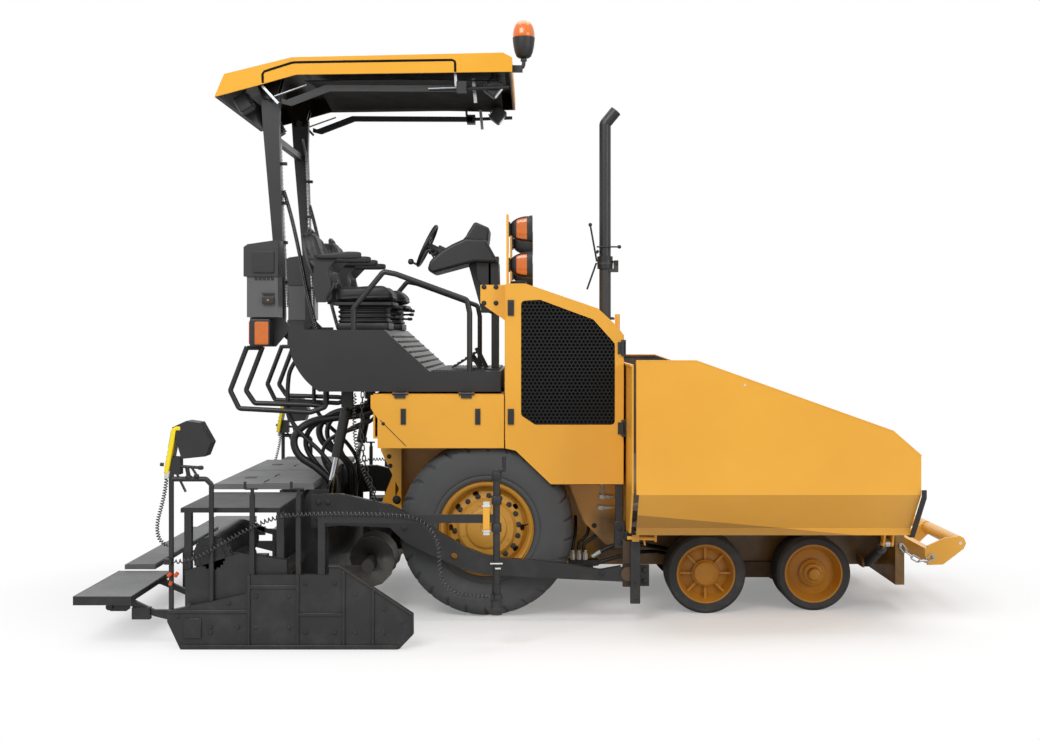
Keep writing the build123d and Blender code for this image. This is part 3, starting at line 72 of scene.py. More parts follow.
def mesh_from(name, verts, *face_sets):
    """A mesh from an array of points and arrays of faces, each array of one corner count."""
    verts = np.asarray(verts, dtype=float).reshape(-1, 3)
    face_sets = [np.asarray(faces, dtype=np.int64) for faces in face_sets if len(faces)]
    loops = np.concatenate([faces.ravel() for faces in face_sets])
    sizes = np.concatenate([np.full(len(faces), faces.shape[1]) for faces in face_sets])
    starts = np.concatenate([[0], np.cumsum(sizes)[:-1]])
    mesh = bpy.data.meshes.new(name)
    mesh.vertices.add(len(verts))
    mesh.vertices.foreach_set("co", verts.ravel())
    mesh.loops.add(len(loops))
    mesh.loops.foreach_set("vertex_index", loops)
    mesh.polygons.add(len(sizes))
    mesh.polygons.foreach_set("loop_start", starts)
    mesh.update(calc_edges=True)
    return mesh


def grid_faces(rows, columns, close_rows=False, close_columns=False):
    """Quads of a grid of rows x columns points, wrapped round where a direction is closed."""
    r = np.arange(rows if close_rows else rows - 1)[:, None]
    c = np.arange(columns if close_columns else columns - 1)[None, :]
    r2, c2 = (r + 1) % rows, (c + 1) % columns
    return np.stack(
        [r * columns + c, r * columns + c2, r2 * columns + c2, r2 * columns + c], axis=-1).reshape(-1, 4)


def unit(vectors):
    """Vectors scaled to length one along the last axis."""
    return vectors / np.maximum(np.linalg.norm(vectors, axis=-1, keepdims=True), 1e-12)


def tube_points(path, radius, sides=12):
    """P(i, a) = path(i) + r(i) (cos a N(i) + sin a B(i)), with N square to the path and a fixed direction."""
    path = np.asarray(path, dtype=float)
    tangent = unit(np.gradient(path, axis=0))
    spread = np.abs(tangent).max(axis=0)
    fixed = np.eye(3)[int(np.argmin(spread))]
    normal = unit(np.cross(tangent, fixed))
    binormal = np.cross(tangent, normal)
    angle = np.linspace(0, 2 * pi, sides, endpoint=False)
    radius = np.broadcast_to(np.asarray(radius, dtype=float), (len(path),))
    ring = (np.cos(angle)[None, :, None] * normal[:, None, :]
            + np.sin(angle)[None, :, None] * binormal[:, None, :])
    return path[:, None, :] + radius[:, None, None] * ring


def capped_tube(path, radius, sides=12):
    """A tube along a path, its ends closed by flat caps: points and faces."""
    points = tube_points(path, radius, sides)
    rows = len(points)
    quads = grid_faces(rows, sides, close_columns=True)
    caps = np.stack([np.arange(sides)[::-1], (rows - 1) * sides + np.arange(sides)])
    return points.reshape(-1, 3), quads, caps


def smooth_path(points, count):
    """A path through points as a Catmull-Rom curve, evaluated as whole arrays."""
    p = np.asarray(points, dtype=float)
    padded = np.concatenate([[2 * p[0] - p[1]], p, [2 * p[-1] - p[-2]]])
    u = np.linspace(0, len(p) - 1, count)
    i = np.minimum(u.astype(int), len(p) - 2)
    t = (u - i)[:, None]
    a, b, c, d = padded[i], padded[i + 1], padded[i + 2], padded[i + 3]
    return 0.5 * (2 * b + (c - a) * t + (2 * a - 5 * b + 4 * c - d) * t**2 + (3 * b - a - 3 * c + d) * t**3)


def turned_points(profile, steps, wave=None):
    """P(a, k) = (r cos a, d, r sin a) for each profile point (radius r, depth d). wave(a) scales r."""
    profile = np.asarray(profile, dtype=float)
    angle = np.linspace(0, 2 * pi, steps, endpoint=False)[:, None]
    r = profile[None, :, 0] * (np.ones_like(angle) if wave is None else wave(angle))
    d = np.broadcast_to(profile[None, :, 1], r.shape)
    return np.stack([r * np.cos(angle), d, r * np.sin(angle)], axis=-1)


def hexagon_wave(angle):
    """Radius of a hexagon of unit flat-to-flat half width in a direction."""
    return 1.0 / np.cos((angle % (pi / 3)) - pi / 6)


def merge(parts):
    """Joins (points, face arrays...) parts into one set of points and faces by corner count."""
    verts, by_size, offset = [], {}, 0
    for part in parts:
        points = np.asarray(part[0], dtype=float).reshape(-1, 3)
        for faces in part[1:]:
            faces = np.asarray(faces, dtype=np.int64)
            if len(faces):
                by_size.setdefault(faces.shape[1], []).append(faces + offset)
        verts.append(points)
        offset += len(points)
    return (np.concatenate(verts), *[np.concatenate(group) for group in by_size.values()])


# The three rows of each matrix are the directions that a template's X, Y and Z take
FACING = {
    "+X": np.array([[0, 0, 1], [1, 0, 0], [0, 1, 0]], float),
    "-X": np.array([[0, 0, 1], [-1, 0, 0], [0, -1, 0]], float),
    "+Y": np.eye(3),
    "-Y": np.array([[-1, 0, 0], [0, -1, 0], [0, 0, 1]], float),
    "+Z": np.array([[1, 0, 0], [0, 0, 1], [0, -1, 0]], float),
    "-Z": np.array([[1, 0, 0], [0, 0, -1], [0, 1, 0]], float),
}


def copies(template, places, facing="+Y", scale=1.0):
    """A template repeated at many places: P = place + scale * template * facing, for all places at once."""
    places = np.asarray(places, dtype=float).reshape(-1, 3)
    turned = np.asarray(template[0]).reshape(-1, 3) @ FACING[facing] * scale
    verts = places[:, None, :] + turned[None, :, :]
    offsets = (np.arange(len(places)) * len(turned))[:, None, None]
    faces = [(np.asarray(f)[None, :, :] + offsets).reshape(-1, np.asarray(f).shape[1]) for f in template[1:]]
    return (verts.reshape(-1, 3), *faces)


def turned_template(profile, steps, wave=None):
    """A closed turned form on the Y axis: points, quads and the cap at the profile's last point."""
    points = turned_points(profile, steps, wave)
    columns = points.shape[1]
    quads = grid_faces(steps, columns, close_rows=True)[:, ::-1]
    last = (np.arange(steps) * columns + columns - 1)[::-1]
    return points.reshape(-1, 3), quads, last[None, :]


def bolt_template():
    """A washer and a chamfered hexagon head standing along +Y. The head's half width is about 1 unit."""
    washer = turned_template([(1.35, 0.0), (1.35, 0.12), (1.28, 0.18), (0.9, 0.18)], 20)
    head = turned_template([(0.87, 0.16), (0.87, 0.72), (0.72, 0.82), (0.45, 0.84)], 24, hexagon_wave)
    return merge([washer, head])


BOLT = bolt_template()


BOX_FACES = np.array([[0, 1, 3, 2], [4, 6, 7, 5], [0, 4, 5, 1], [2, 3, 7, 6], [0, 2, 6, 4], [1, 5, 7, 3]])


def box_part(x_span, y_span, z_span):
    """A box's eight corners and six quads."""
    x, y, z = np.sort(x_span), np.sort(y_span), np.sort(z_span)
    corners = np.array([[a, b, c] for a in x for b in y for c in z], float)
    return corners, BOX_FACES


def prism_part(outline, axis, span):
    """An outline carried along an axis between two values: P(k, s) = outline(k) at s. Sides and end caps."""
    outline = np.asarray(outline, dtype=float)
    low, high = min(span), max(span)
    count = len(outline)
    levels = np.repeat([low, high], count)
    flat = np.concatenate([outline, outline])
    order = {"X": (2, 0, 1), "Y": (0, 2, 1), "Z": (0, 1, 2)}[axis]
    stacked = np.column_stack([flat[:, 0], flat[:, 1], levels])
    sides = grid_faces(2, count, close_columns=True)
    caps = np.stack([np.arange(count)[::-1], count + np.arange(count)])
    return stacked[:, order], sides, caps


def bevelled(piece, width, segments=2):
    """A bevel on a piece's sharp edges."""
    modifier = piece.modifiers.new("bevel", "BEVEL")
    modifier.width = width
    modifier.segments = segments
    modifier.limit_method = "ANGLE"
    modifier.angle_limit = radians(30)
    modifier.harden_normals = False
    return piece


# shader helpers
def add_node(tree, kind, values=None, **settings):
    """One shader node. Its inputs are given by name or number, as constants or as sockets to link."""
    node = tree.nodes.new(kind)
    for key, value in settings.items():
        setattr(node, key, value)
    for key, value in (values or {}).items():
        socket = node.inputs[key]
        if isinstance(value, bpy.types.NodeSocket):
            tree.links.new(value, socket)
        else:
            socket.default_value = value
    return node


def object_place(tree):
    """Object coordinates as a socket."""
    return add_node(tree, "ShaderNodeTexCoord").outputs["Object"]


def maths(tree, operation, first, second=0.0, third=0.0):
    """The result of one maths node."""
    return add_node(tree, "ShaderNodeMath", {0: first, 1: second, 2: third}, operation=operation).outputs[0]


def blend_colour(tree, factor, first, second, mode="MIX"):
    """Two colours mixed by a factor."""
    node = add_node(
        tree, "ShaderNodeMix", {0: factor, 6: first, 7: second}, data_type="RGBA", blend_type=mode)
    return node.outputs[2]


def span_of(tree, value, low, high, to_low=0.0, to_high=1.0):
    """A value mapped from one span to another and held at its ends."""
    node = add_node(tree, "ShaderNodeMapRange",
                    {"Value": value, "From Min": low, "From Max": high, "To Min": to_low, "To Max": to_high})
    return node.outputs["Result"]


def noise(tree, vector, scale, detail=3.0, roughness=0.5):
    """Values of a noise at object coordinates."""
    return add_node(
        tree, "ShaderNodeTexNoise",
        {"Vector": vector, "Scale": scale, "Detail": detail, "Roughness": roughness}).outputs["Fac"]


def new_group(name, inputs, outputs):
    """An empty shader group with named inputs and outputs, and its input and output nodes."""
    group = bpy.data.node_groups.new(name, "ShaderNodeTree")
    for label, kind, value in inputs:
        socket = group.interface.new_socket(name=label, in_out="INPUT", socket_type=kind)
        socket.default_value = value
    for label, kind in outputs:
        group.interface.new_socket(name=label, in_out="OUTPUT", socket_type=kind)
    return group, group.nodes.new("NodeGroupInput"), group.nodes.new("NodeGroupOutput")


FLOAT, COLOUR = "NodeSocketFloat", "NodeSocketColor"


def finish_group(name, orange_peel, fine_scale):
    """A coating: slow change of tone, dust towards the ground, rubbed patches and a fine surface texture."""
    group, given, result = new_group(
        name,
        [("Colour", COLOUR, (0.5, 0.5, 0.5, 1)), ("Tone", COLOUR, (0.4, 0.4, 0.4, 1)),
         ("Dust", COLOUR, (0.3, 0.28, 0.25, 1)), ("Dust amount", FLOAT, 0.3), ("Smoothness", FLOAT, 0.4)],
        [("Colour", COLOUR), ("Roughness", FLOAT), ("Height", FLOAT)],
    )
    place = add_node(group, "ShaderNodeTexCoord").outputs["Object"]
    slow = noise(group, place, 1.7, 4.0)
    patches = noise(group, place, 9.0, 6.0, 0.62)
    fine = noise(group, place, fine_scale, 2.0)
    toned = blend_colour(
        group, span_of(group, slow, 0.35, 0.72), given.outputs["Colour"], given.outputs["Tone"])
    height = add_node(group, "ShaderNodeSeparateXYZ", {0: place}).outputs["Z"]
    low_down = span_of(group, height, 0.9, 0.0)
    spots = span_of(group, patches, 0.48, 0.74)
    dusty = maths(group, "MULTIPLY", maths(group, "MULTIPLY", low_down, spots), given.outputs["Dust amount"])
    colour = blend_colour(group, dusty, toned, given.outputs["Dust"])
    rubbed = span_of(group, patches, 0.3, 0.75, -0.05, 0.07)
    roughness = maths(group, "ADD", maths(group, "ADD", given.outputs["Smoothness"], rubbed),
                      maths(group, "MULTIPLY", dusty, 0.35))
    bumps = maths(group, "MULTIPLY", fine, orange_peel)
    group.links.new(colour, result.inputs["Colour"])
    group.links.new(roughness, result.inputs["Roughness"])
    group.links.new(bumps, result.inputs["Height"])
    return group


PAINT_GROUP = finish_group("enamel_finish", 0.5, 260.0)
PLASTIC_GROUP = finish_group("moulded_finish", 1.0, 900.0)
CAST_GROUP = finish_group("cast_finish", 1.0, 90.0)


def coated(name, group, colour, tone, smoothness, dust=0.3, bump=0.02, metallic=0.0, coat=0.0,
           dust_colour=(0.32, 0.29, 0.25, 1), specular=0.5):
    """A material of a coating group on a Principled shader."""
    material = bpy.data.materials.new(name)
    material.use_nodes = True
    tree = material.node_tree
    shader = tree.nodes["Principled BSDF"]
    finish = add_node(tree, "ShaderNodeGroup", node_tree=group)
    finish.inputs["Colour"].default_value = (*colour, 1)
    finish.inputs["Tone"].default_value = (*tone, 1)
    finish.inputs["Dust"].default_value = dust_colour
    finish.inputs["Dust amount"].default_value = dust
    finish.inputs["Smoothness"].default_value = smoothness
    relief = add_node(
        tree, "ShaderNodeBump", {"Height": finish.outputs["Height"], "Strength": bump, "Distance": 0.001})
    tree.links.new(finish.outputs["Colour"], shader.inputs["Base Color"])
    tree.links.new(finish.outputs["Roughness"], shader.inputs["Roughness"])
    tree.links.new(relief.outputs["Normal"], shader.inputs["Normal"])
    shader.inputs["Metallic"].default_value = metallic
    shader.inputs["Coat Weight"].default_value = coat
    shader.inputs["Coat Roughness"].default_value = 0.12
    shader.inputs["Specular IOR Level"].default_value = specular
    return material


def srgb(r, g, b):
    """A screen colour of 0 to 255 as linear values."""
    c = np.array([r, g, b], float) / 255.0
    return tuple(float(v) for v in np.where(c <= 0.04045, c / 12.92, ((c + 0.055) / 1.055) ** 2.4))


yellow = coated(
    "yellow_enamel", PAINT_GROUP, srgb(236, 172, 55), srgb(229, 163, 48), 0.36, dust=0.08, bump=0.06,
    coat=0.25)
dark = coated(
    "dark_enamel", PAINT_GROUP, srgb(40, 40, 41), srgb(34, 34, 35), 0.42, dust=0.07, bump=0.08, coat=0.1,
    specular=0.4)
dark_cast = coated("dark_casting", CAST_GROUP, srgb(38, 38, 39), srgb(30, 30, 31), 0.5, dust=0.2, bump=0.5,
                  specular=0.4)
steel_plate = coated(
    "hopper_plate", PAINT_GROUP, srgb(72, 66, 60), srgb(54, 48, 43), 0.5, dust=0.3, bump=0.3, metallic=0.35)
worn_steel = coated(
    "worn_steel", CAST_GROUP, srgb(120, 116, 112), srgb(88, 80, 74), 0.38, dust=0.35, bump=0.25,
    metallic=0.9)
chrome = coated(
    "chrome_rod", PAINT_GROUP, srgb(205, 207, 210), srgb(190, 192, 196), 0.08, dust=0.05, bump=0.01,
    metallic=1.0)
engine_cast = coated(
    "engine_casting", CAST_GROUP, srgb(60, 60, 60), srgb(40, 40, 40), 0.55, dust=0.2, bump=0.6)
rubber = coated("tyre_rubber", CAST_GROUP, srgb(76, 77, 78), srgb(66, 67, 68), 0.62, dust=0.12, bump=0.25,
                specular=0.35)
hose_rubber = coated(
    "hose_rubber", PLASTIC_GROUP, srgb(26, 26, 27), srgb(20, 20, 21), 0.42, dust=0.1, bump=0.1)
plastic = coated(
    "black_moulding", PLASTIC_GROUP, srgb(34, 34, 36), srgb(27, 27, 28), 0.46, dust=0.08, bump=0.25)
vinyl = coated("seat_vinyl", PLASTIC_GROUP, srgb(38, 38, 40), srgb(30, 30, 31), 0.5, dust=0.05, bump=0.3)
brown_under = coated(
    "roof_underside", PLASTIC_GROUP, srgb(21, 15, 10), srgb(15, 10, 7), 0.6, dust=0.0, bump=0.1,
    specular=0.08)
dull_steel = coated("dull_steel", CAST_GROUP, srgb(88, 86, 82), srgb(50, 48, 46), 0.45, dust=0.1, bump=0.3,
                    metallic=0.6)
coil_rubber = coated(
    "coil_jacket", PLASTIC_GROUP, srgb(40, 40, 41), srgb(30, 30, 31), 0.16, dust=0.0, bump=0.02,
    specular=0.8)
galvanised = coated("galvanised_steel", CAST_GROUP, srgb(188, 190, 192), srgb(150, 152, 156), 0.34, dust=0.05,
                    bump=0.15, metallic=0.85)
grille_black = coated(
    "grille_black", PAINT_GROUP, srgb(20, 20, 21), srgb(15, 15, 16), 0.5, dust=0.03, bump=0.05,
    specular=0.3)
# Painted shade: near-black used where gaps and holes lie in shade.
shade_black = coated(
    "painted_shade_black", PLASTIC_GROUP, srgb(8, 8, 8), srgb(6, 6, 6), 0.6, dust=0.0, bump=0.02, specular=0.1)

NODE_FINISHES = {
    yellow: [
        "main_frame", "engine_hood", "engine_door_right", "engine_door_left", "locker_door_right",
        "locker_door_left", "side_lockers", "hopper_wing_right", "hopper_wing_left", "push_yoke",
        "push_rollers", "canopy_roof", "rear_rim_right", "rear_rim_left"],
    dark: [
        "bogie_beams", "final_drives", "platform", "hand_rails", "rear_cabinets", "canopy_mast",
        "exhaust_stack", "tow_arms", "screed_frame", "screed_extension_right", "screed_extension_left",
        "steering_knuckle_right", "steering_knuckle_left", "wing_cylinder_barrel_right",
        "wing_cylinder_barrel_left", "lift_cylinder_barrels"],
    dark_cast: ["auger_drive", "screed_decks"],
    grille_black: ["engine_grille_right", "engine_grille_left"],
    steel_plate: ["hopper_box"],
    worn_steel: ["slat_conveyors"],
    dull_steel: ["auger_right", "auger_left"],
    chrome: ["wing_cylinder_rod_right", "wing_cylinder_rod_left", "lift_cylinder_rods"],
    engine_cast: ["engine_block"],
    rubber: [
        "rear_tyre_right", "rear_tyre_left", "front_wheel_front_right", "front_wheel_front_left",
        "front_wheel_rear_right", "front_wheel_rear_left"],
    plastic: [
        "lamps", "work_lights", "console", "steering_wheel", "seat_stands", "beacon",
        "screed_controls_right", "screed_controls_left"],
    vinyl: ["seats"],
    hose_rubber: ["sensor_cable_right", "sensor_cable_left"],
}
for finish, names in NODE_FINISHES.items():
    for name in names:
        mesh = nodes[name].data
        mesh.materials.clear()
        mesh.materials.append(finish)

# wheels
# Painted shade: the rims and hub covers wear the body's yellow darkened, a shaded copy of it.
shaded_rim_enamel = coated(
    "shaded_rim_enamel", PAINT_GROUP, srgb(198, 144, 50), srgb(180, 128, 42), 0.4, dust=0.15, bump=0.1)
REAR_WHEEL = np.array([-0.370, 0.0, 0.536])
rear_face_out = 0.850
lug_count = 26


def rear_tyre_points(side, angle_steps=lug_count * 26, section_steps=72):
    """P(a, t) = centre + (r cos a, side (0.85 - d), r sin a), with (r, d)(t) the section from bead to bead.

    Grooves cut the shoulders: r loses 16 mm x K(frac(26 a / 2 pi + 0.9 |w|)) x smooth(r), with w from -1 to 1
    across the tread and K a smooth notch 0.12 of a pitch wide. Two ribs run round the middle.
    """
    half = [(0.290, 0.034), (0.300, 0.018), (0.316, 0.011), (0.326, 0.013), (0.333, 0.006), (0.350, 0.001),
            (0.385, -0.002), (0.425, 0.001), (0.462, 0.006), (0.486, 0.011), (0.502, 0.020), (0.520, 0.034),
            (0.5315, 0.056), (0.5355, 0.095), (0.536, 0.140)]
    other = [(r, 0.385 - d) for r, d in reversed(half)]
    section = smooth_path(half + [(0.536, 0.1925)] + other, section_steps)
    angle = np.linspace(0, 2 * pi, angle_steps, endpoint=False)[:, None]
    r, d = section[None, :, 0], section[None, :, 1]
    across = (d - 0.1925) / 0.1925
    phase = lug_count * angle / (2 * pi) + 0.9 * np.abs(across) + 0.25 * np.sign(across)
    from_notch = np.abs(phase - np.round(phase))
    notch = np.clip((0.085 - from_notch) / 0.03, 0, 1)
    reach = np.clip((r - 0.470) / 0.03, 0, 1) * np.clip((np.abs(across) - 0.28) / 0.06, 0, 1)
    rib = np.exp(-(((np.abs(across) - 0.26) / 0.035) ** 2)) * (r > 0.5)
    r = r - 0.016 * notch**2 * (3 - 2 * notch) * reach - 0.010 * rib
    return np.stack([REAR_WHEEL[0] + r * np.cos(angle), side * (rear_face_out - d) + 0 * angle,
                     REAR_WHEEL[2] + r * np.sin(angle)], axis=-1)


def ring_places(centre_x, centre_z, radius, count, y, start=0.0):
    """Places round a circle in the X and Z plane."""
    angle = start + np.arange(count) * 2 * pi / count
    return np.stack(
        [centre_x + radius * np.cos(angle), np.full(count, y), centre_z + radius * np.sin(angle)], axis=-1)


for side_name, side in SIDES:
    facing = "+Y" if side > 0 else "-Y"
    body = f"rear_wheel_{side_name}"
    points = rear_tyre_points(side)
    faces = grid_faces(points.shape[0], points.shape[1], close_rows=True)
    tyre = new_object(
        f"tyre_tread_{side_name}", mesh_from("tyre", points, faces if side > 0 else faces[:, ::-1]), rubber,
        body, smooth_deg=50)
    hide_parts(f"rear_tyre_{side_name}")

    # Hub: dark nuts on the planetary flange, a ring of plugs on its cover, and the rim's lock ring
    nut_y = side * (rear_face_out - 0.0875)
    nuts = copies(BOLT, ring_places(REAR_WHEEL[0], REAR_WHEEL[2], 0.197, 18, nut_y, 0.1), facing, 0.0125)
    add_piece(f"wheel_nuts_{side_name}", [nuts], dark_cast, body, 25)
    cover_profile = [
        (0.1705, 0.0), (0.1705, 0.018), (0.166, 0.023), (0.128, 0.025), (0.122, 0.034), (0.112, 0.038),
        (0.040, 0.040), (0.036, 0.036), (0.030, 0.036), (0.027, 0.040), (0.012, 0.041)]
    cover = turned_template(cover_profile, 72)
    cover = copies(cover, [(REAR_WHEEL[0], side * (rear_face_out - 0.086), REAR_WHEEL[2])], facing)
    plugs = copies(
        BOLT, ring_places(REAR_WHEEL[0], REAR_WHEEL[2], 0.146, 8, side * (rear_face_out - 0.0625), 0.3),
        facing, 0.0062)
    lock_ring = turned_template(
        [(0.262, 0.0), (0.270, 0.008), (0.2765, 0.012), (0.283, 0.008), (0.2865, 0.0)], 96)
    lock_ring = copies(
        lock_ring[:2], [(REAR_WHEEL[0], side * (rear_face_out - 0.040), REAR_WHEEL[2])],
        facing)
    add_piece(f"hub_cover_{side_name}", [cover, plugs, lock_ring], shaded_rim_enamel, body)
    valve = smooth_path(
        [(0.236, -0.070, 0.02), (0.240, -0.050, 0.02), (0.246, -0.038, 0.024), (0.256, -0.034, 0.03)],
        14) * (1, side, 1) + REAR_WHEEL + (0, side * rear_face_out, 0)
    add_piece(
        f"tyre_valve_{side_name}", [capped_tube(valve, np.linspace(0.006, 0.004, 14))], dark_cast, body)


def wheel_material(name, centre_x, centre_z, rim_radius, hub_radius):
    """Rubber outside the rim's radius and yellow paint inside it, the paint a darker copy of the body's
    yellow as painted shade, with a ring of painted shade just outside the hub.
    """
    material = coated(
        name, CAST_GROUP, srgb(58, 58, 59), srgb(50, 50, 51), 0.62, dust=0.12, bump=0.25, specular=0.35)
    tree = material.node_tree
    shader = tree.nodes["Principled BSDF"]
    rubber_colour = shader.inputs["Base Color"].links[0].from_socket
    place = object_place(tree)
    parts = add_node(tree, "ShaderNodeSeparateXYZ", {0: place})
    dx = maths(tree, "SUBTRACT", parts.outputs["X"], centre_x)
    dz = maths(tree, "SUBTRACT", parts.outputs["Z"], centre_z)
    reach = maths(
        tree, "SQRT", maths(tree, "ADD", maths(tree, "MULTIPLY", dx, dx), maths(tree, "MULTIPLY", dz, dz)))
    paint = add_node(tree, "ShaderNodeGroup", node_tree=PAINT_GROUP)
    # Painted shade: the body's yellow darkened for the wheels.
    paint.inputs["Colour"].default_value = (*srgb(200, 138, 42), 1)
    paint.inputs["Tone"].default_value = (*srgb(178, 120, 36), 1)
    paint.inputs["Dust amount"].default_value = 0.15
    paint.inputs["Smoothness"].default_value = 0.38
    inside = span_of(tree, reach, rim_radius + 0.0006, rim_radius - 0.0006)
    # Painted shade: a ring just outside the hub's radius, darkened towards brown.
    hub_ring_shade = maths(tree, "MULTIPLY", span_of(tree, reach, hub_radius, hub_radius + 0.004),
                   span_of(tree, reach, hub_radius + 0.012, hub_radius + 0.006))
    shaded = blend_colour(
        tree, maths(tree, "MULTIPLY", hub_ring_shade, 0.5), paint.outputs["Colour"], (*srgb(120, 84, 30), 1))
    tree.links.new(blend_colour(tree, inside, rubber_colour, shaded), shader.inputs["Base Color"])
    rough = add_node(
        tree, "ShaderNodeMix", {0: inside, 2: 0.66, 3: paint.outputs["Roughness"]}, data_type="FLOAT")
    tree.links.new(rough.outputs[0], shader.inputs["Roughness"])
    return material


FRONT_WHEELS = (("rear", 0.985, 0.245, 0.734, 0.245), ("front", 1.670, 0.231, 0.640, 0.231))
for axle, wheel_x, wheel_z, face_out, radius in FRONT_WHEELS:
    wheel_paint = wheel_material(f"front_wheel_{axle}", wheel_x, wheel_z, 0.1815, 0.084)
    for side_name, side in SIDES:
        facing = "+Y" if side > 0 else "-Y"
        node = f"front_wheel_{axle}_{side_name}"
        nodes[node].data.materials.clear()
        nodes[node].data.materials.append(wheel_paint)
        hub_y = side * (face_out - 0.026)
        if axle == "rear":
            cap = turned_template([
                (0.072, -0.004), (0.072, 0.006), (0.068, 0.010), (0.058, 0.011), (0.056, 0.008),
                (0.020, 0.008)], 48)
            cap = copies(cap, [(wheel_x, hub_y, wheel_z)], facing)
            bolts = copies(
                BOLT, ring_places(wheel_x, wheel_z, 0.063, 12, hub_y + side * 0.009), facing, 0.0052)
        else:
            cap = turned_template([
                (0.064, -0.004), (0.064, 0.014), (0.058, 0.022), (0.042, 0.026), (0.040, 0.048),
                (0.034, 0.060), (0.020, 0.066), (0.006, 0.068)], 48)
            cap = copies(cap, [(wheel_x, hub_y, wheel_z)], facing)
            bolts = copies(
                BOLT, ring_places(wheel_x, wheel_z, 0.051, 6, hub_y + side * 0.022), facing, 0.0048)
        add_piece(f"{node}_cap", [cap, bolts], wheel_paint, node)

# engine grilles: a sheet with staggered holes
GRILLE_LINE = np.array([(-0.157, 1.234), (-0.071, 1.177), (0.413, 1.177), (0.413, 1.670), (0.282, 1.817),
                        (-0.042, 1.937), (-0.157, 1.930)])


def inside_outline(points, outline, margin):
    """Which points lie within a convex outline grown by a margin, its corners going anticlockwise."""
    start, end = outline, np.roll(outline, -1, axis=0)
    edge = unit(end - start)
    outward = np.stack([edge[:, 1], -edge[:, 0]], axis=-1)
    distance = np.einsum("pek,ek->pe", points[:, None, :] - start[None, :, :], outward)
    return (distance < margin).all(axis=1)


def perforated_sheet(outline, pitch, hole_radius, thick, sides=6):
    """Hexagonal cells round hexagonal holes: ring(k, j) = centre + radius(j) (cos, sin)(60 deg k + 30)."""
    low, high = outline.min(axis=0) - pitch, outline.max(axis=0) + pitch
    row_step = pitch * np.sqrt(3) / 2
    rows, columns = int((high[1] - low[1]) / row_step) + 1, int((high[0] - low[0]) / pitch) + 1
    row, column = np.meshgrid(np.arange(rows), np.arange(columns), indexing="ij")
    centres = np.stack(
        [low[0] + (column + 0.5 * (row % 2)) * pitch, low[1] + row * row_step], axis=-1).reshape(-1, 2)
    centres = centres[inside_outline(centres, outline, pitch * 0.4)]
    angle = np.arange(sides) * 2 * pi / sides + pi / 6
    direction = np.stack([np.cos(angle), np.sin(angle)], axis=-1)
    cell_radius = pitch / np.sqrt(3)
    rings = []
    for ring_radius, depth in ((cell_radius, 0.0), (hole_radius, 0.0), (hole_radius * 0.97, thick)):
        flat = centres[:, None, :] + ring_radius * direction[None, :, :]
        rings.append(np.concatenate([flat, np.full((*flat.shape[:2], 1), depth)], axis=-1))
    points = np.stack(rings, axis=1)
    base = grid_faces(3, sides, close_columns=True)
    faces = (base[None, :, :] + (np.arange(len(centres)) * 3 * sides)[:, None, None]).reshape(-1, 4)
    return points.reshape(-1, 3), faces


for side_name, side in SIDES:
    body = f"engine_door_{side_name}"
    flat, faces = perforated_sheet(GRILLE_LINE, 0.0245, 0.0103, 0.004)
    sheet_y = side * (0.8765 - flat[:, 2])
    sheet = new_object(
        f"grille_sheet_{side_name}",
        mesh_from(
            "grille", np.column_stack([flat[:, 0], sheet_y, flat[:, 1]]),
            faces if side < 0 else faces[:, ::-1]),
        grille_black, body, 60)
    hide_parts(f"engine_grille_{side_name}")
    # Painted shade: a black sheet behind the holes, where the engine bay shows through.
    backing = prism_part(GRILLE_LINE * (0.99, 0.995) + (0.001, 0.008), "Y", (side * 0.8640, side * 0.8615))
    add_piece(f"grille_shade_backing_{side_name}", [backing], shade_black, body)

# finishes with two coatings
def place_parts(tree):
    """Object coordinates as sockets, with the distance from the centre plane."""
    parts = add_node(tree, "ShaderNodeSeparateXYZ", {0: object_place(tree)})
    return {"X": parts.outputs["X"], "Y": parts.outputs["Y"], "Z": parts.outputs["Z"],
            "out": maths(tree, "ABSOLUTE", parts.outputs["Y"])}


def above(tree, value, edge, soft=0.0004):
    """1 where a value is above an edge, 0 below it."""
    return span_of(tree, value, edge - soft, edge + soft)


YELLOW_COAT = (PAINT_GROUP, srgb(236, 172, 55), srgb(229, 163, 48), 0.36, 0.06)
DARK_COAT = (PAINT_GROUP, srgb(40, 40, 41), srgb(34, 34, 35), 0.42, 0.08)
BROWN_COAT = (PAINT_GROUP, srgb(22, 15, 10), srgb(15, 10, 7), 0.3, 0.05)
GREY_COAT = (PAINT_GROUP, srgb(88, 88, 88), srgb(76, 76, 76), 0.45, 0.08)


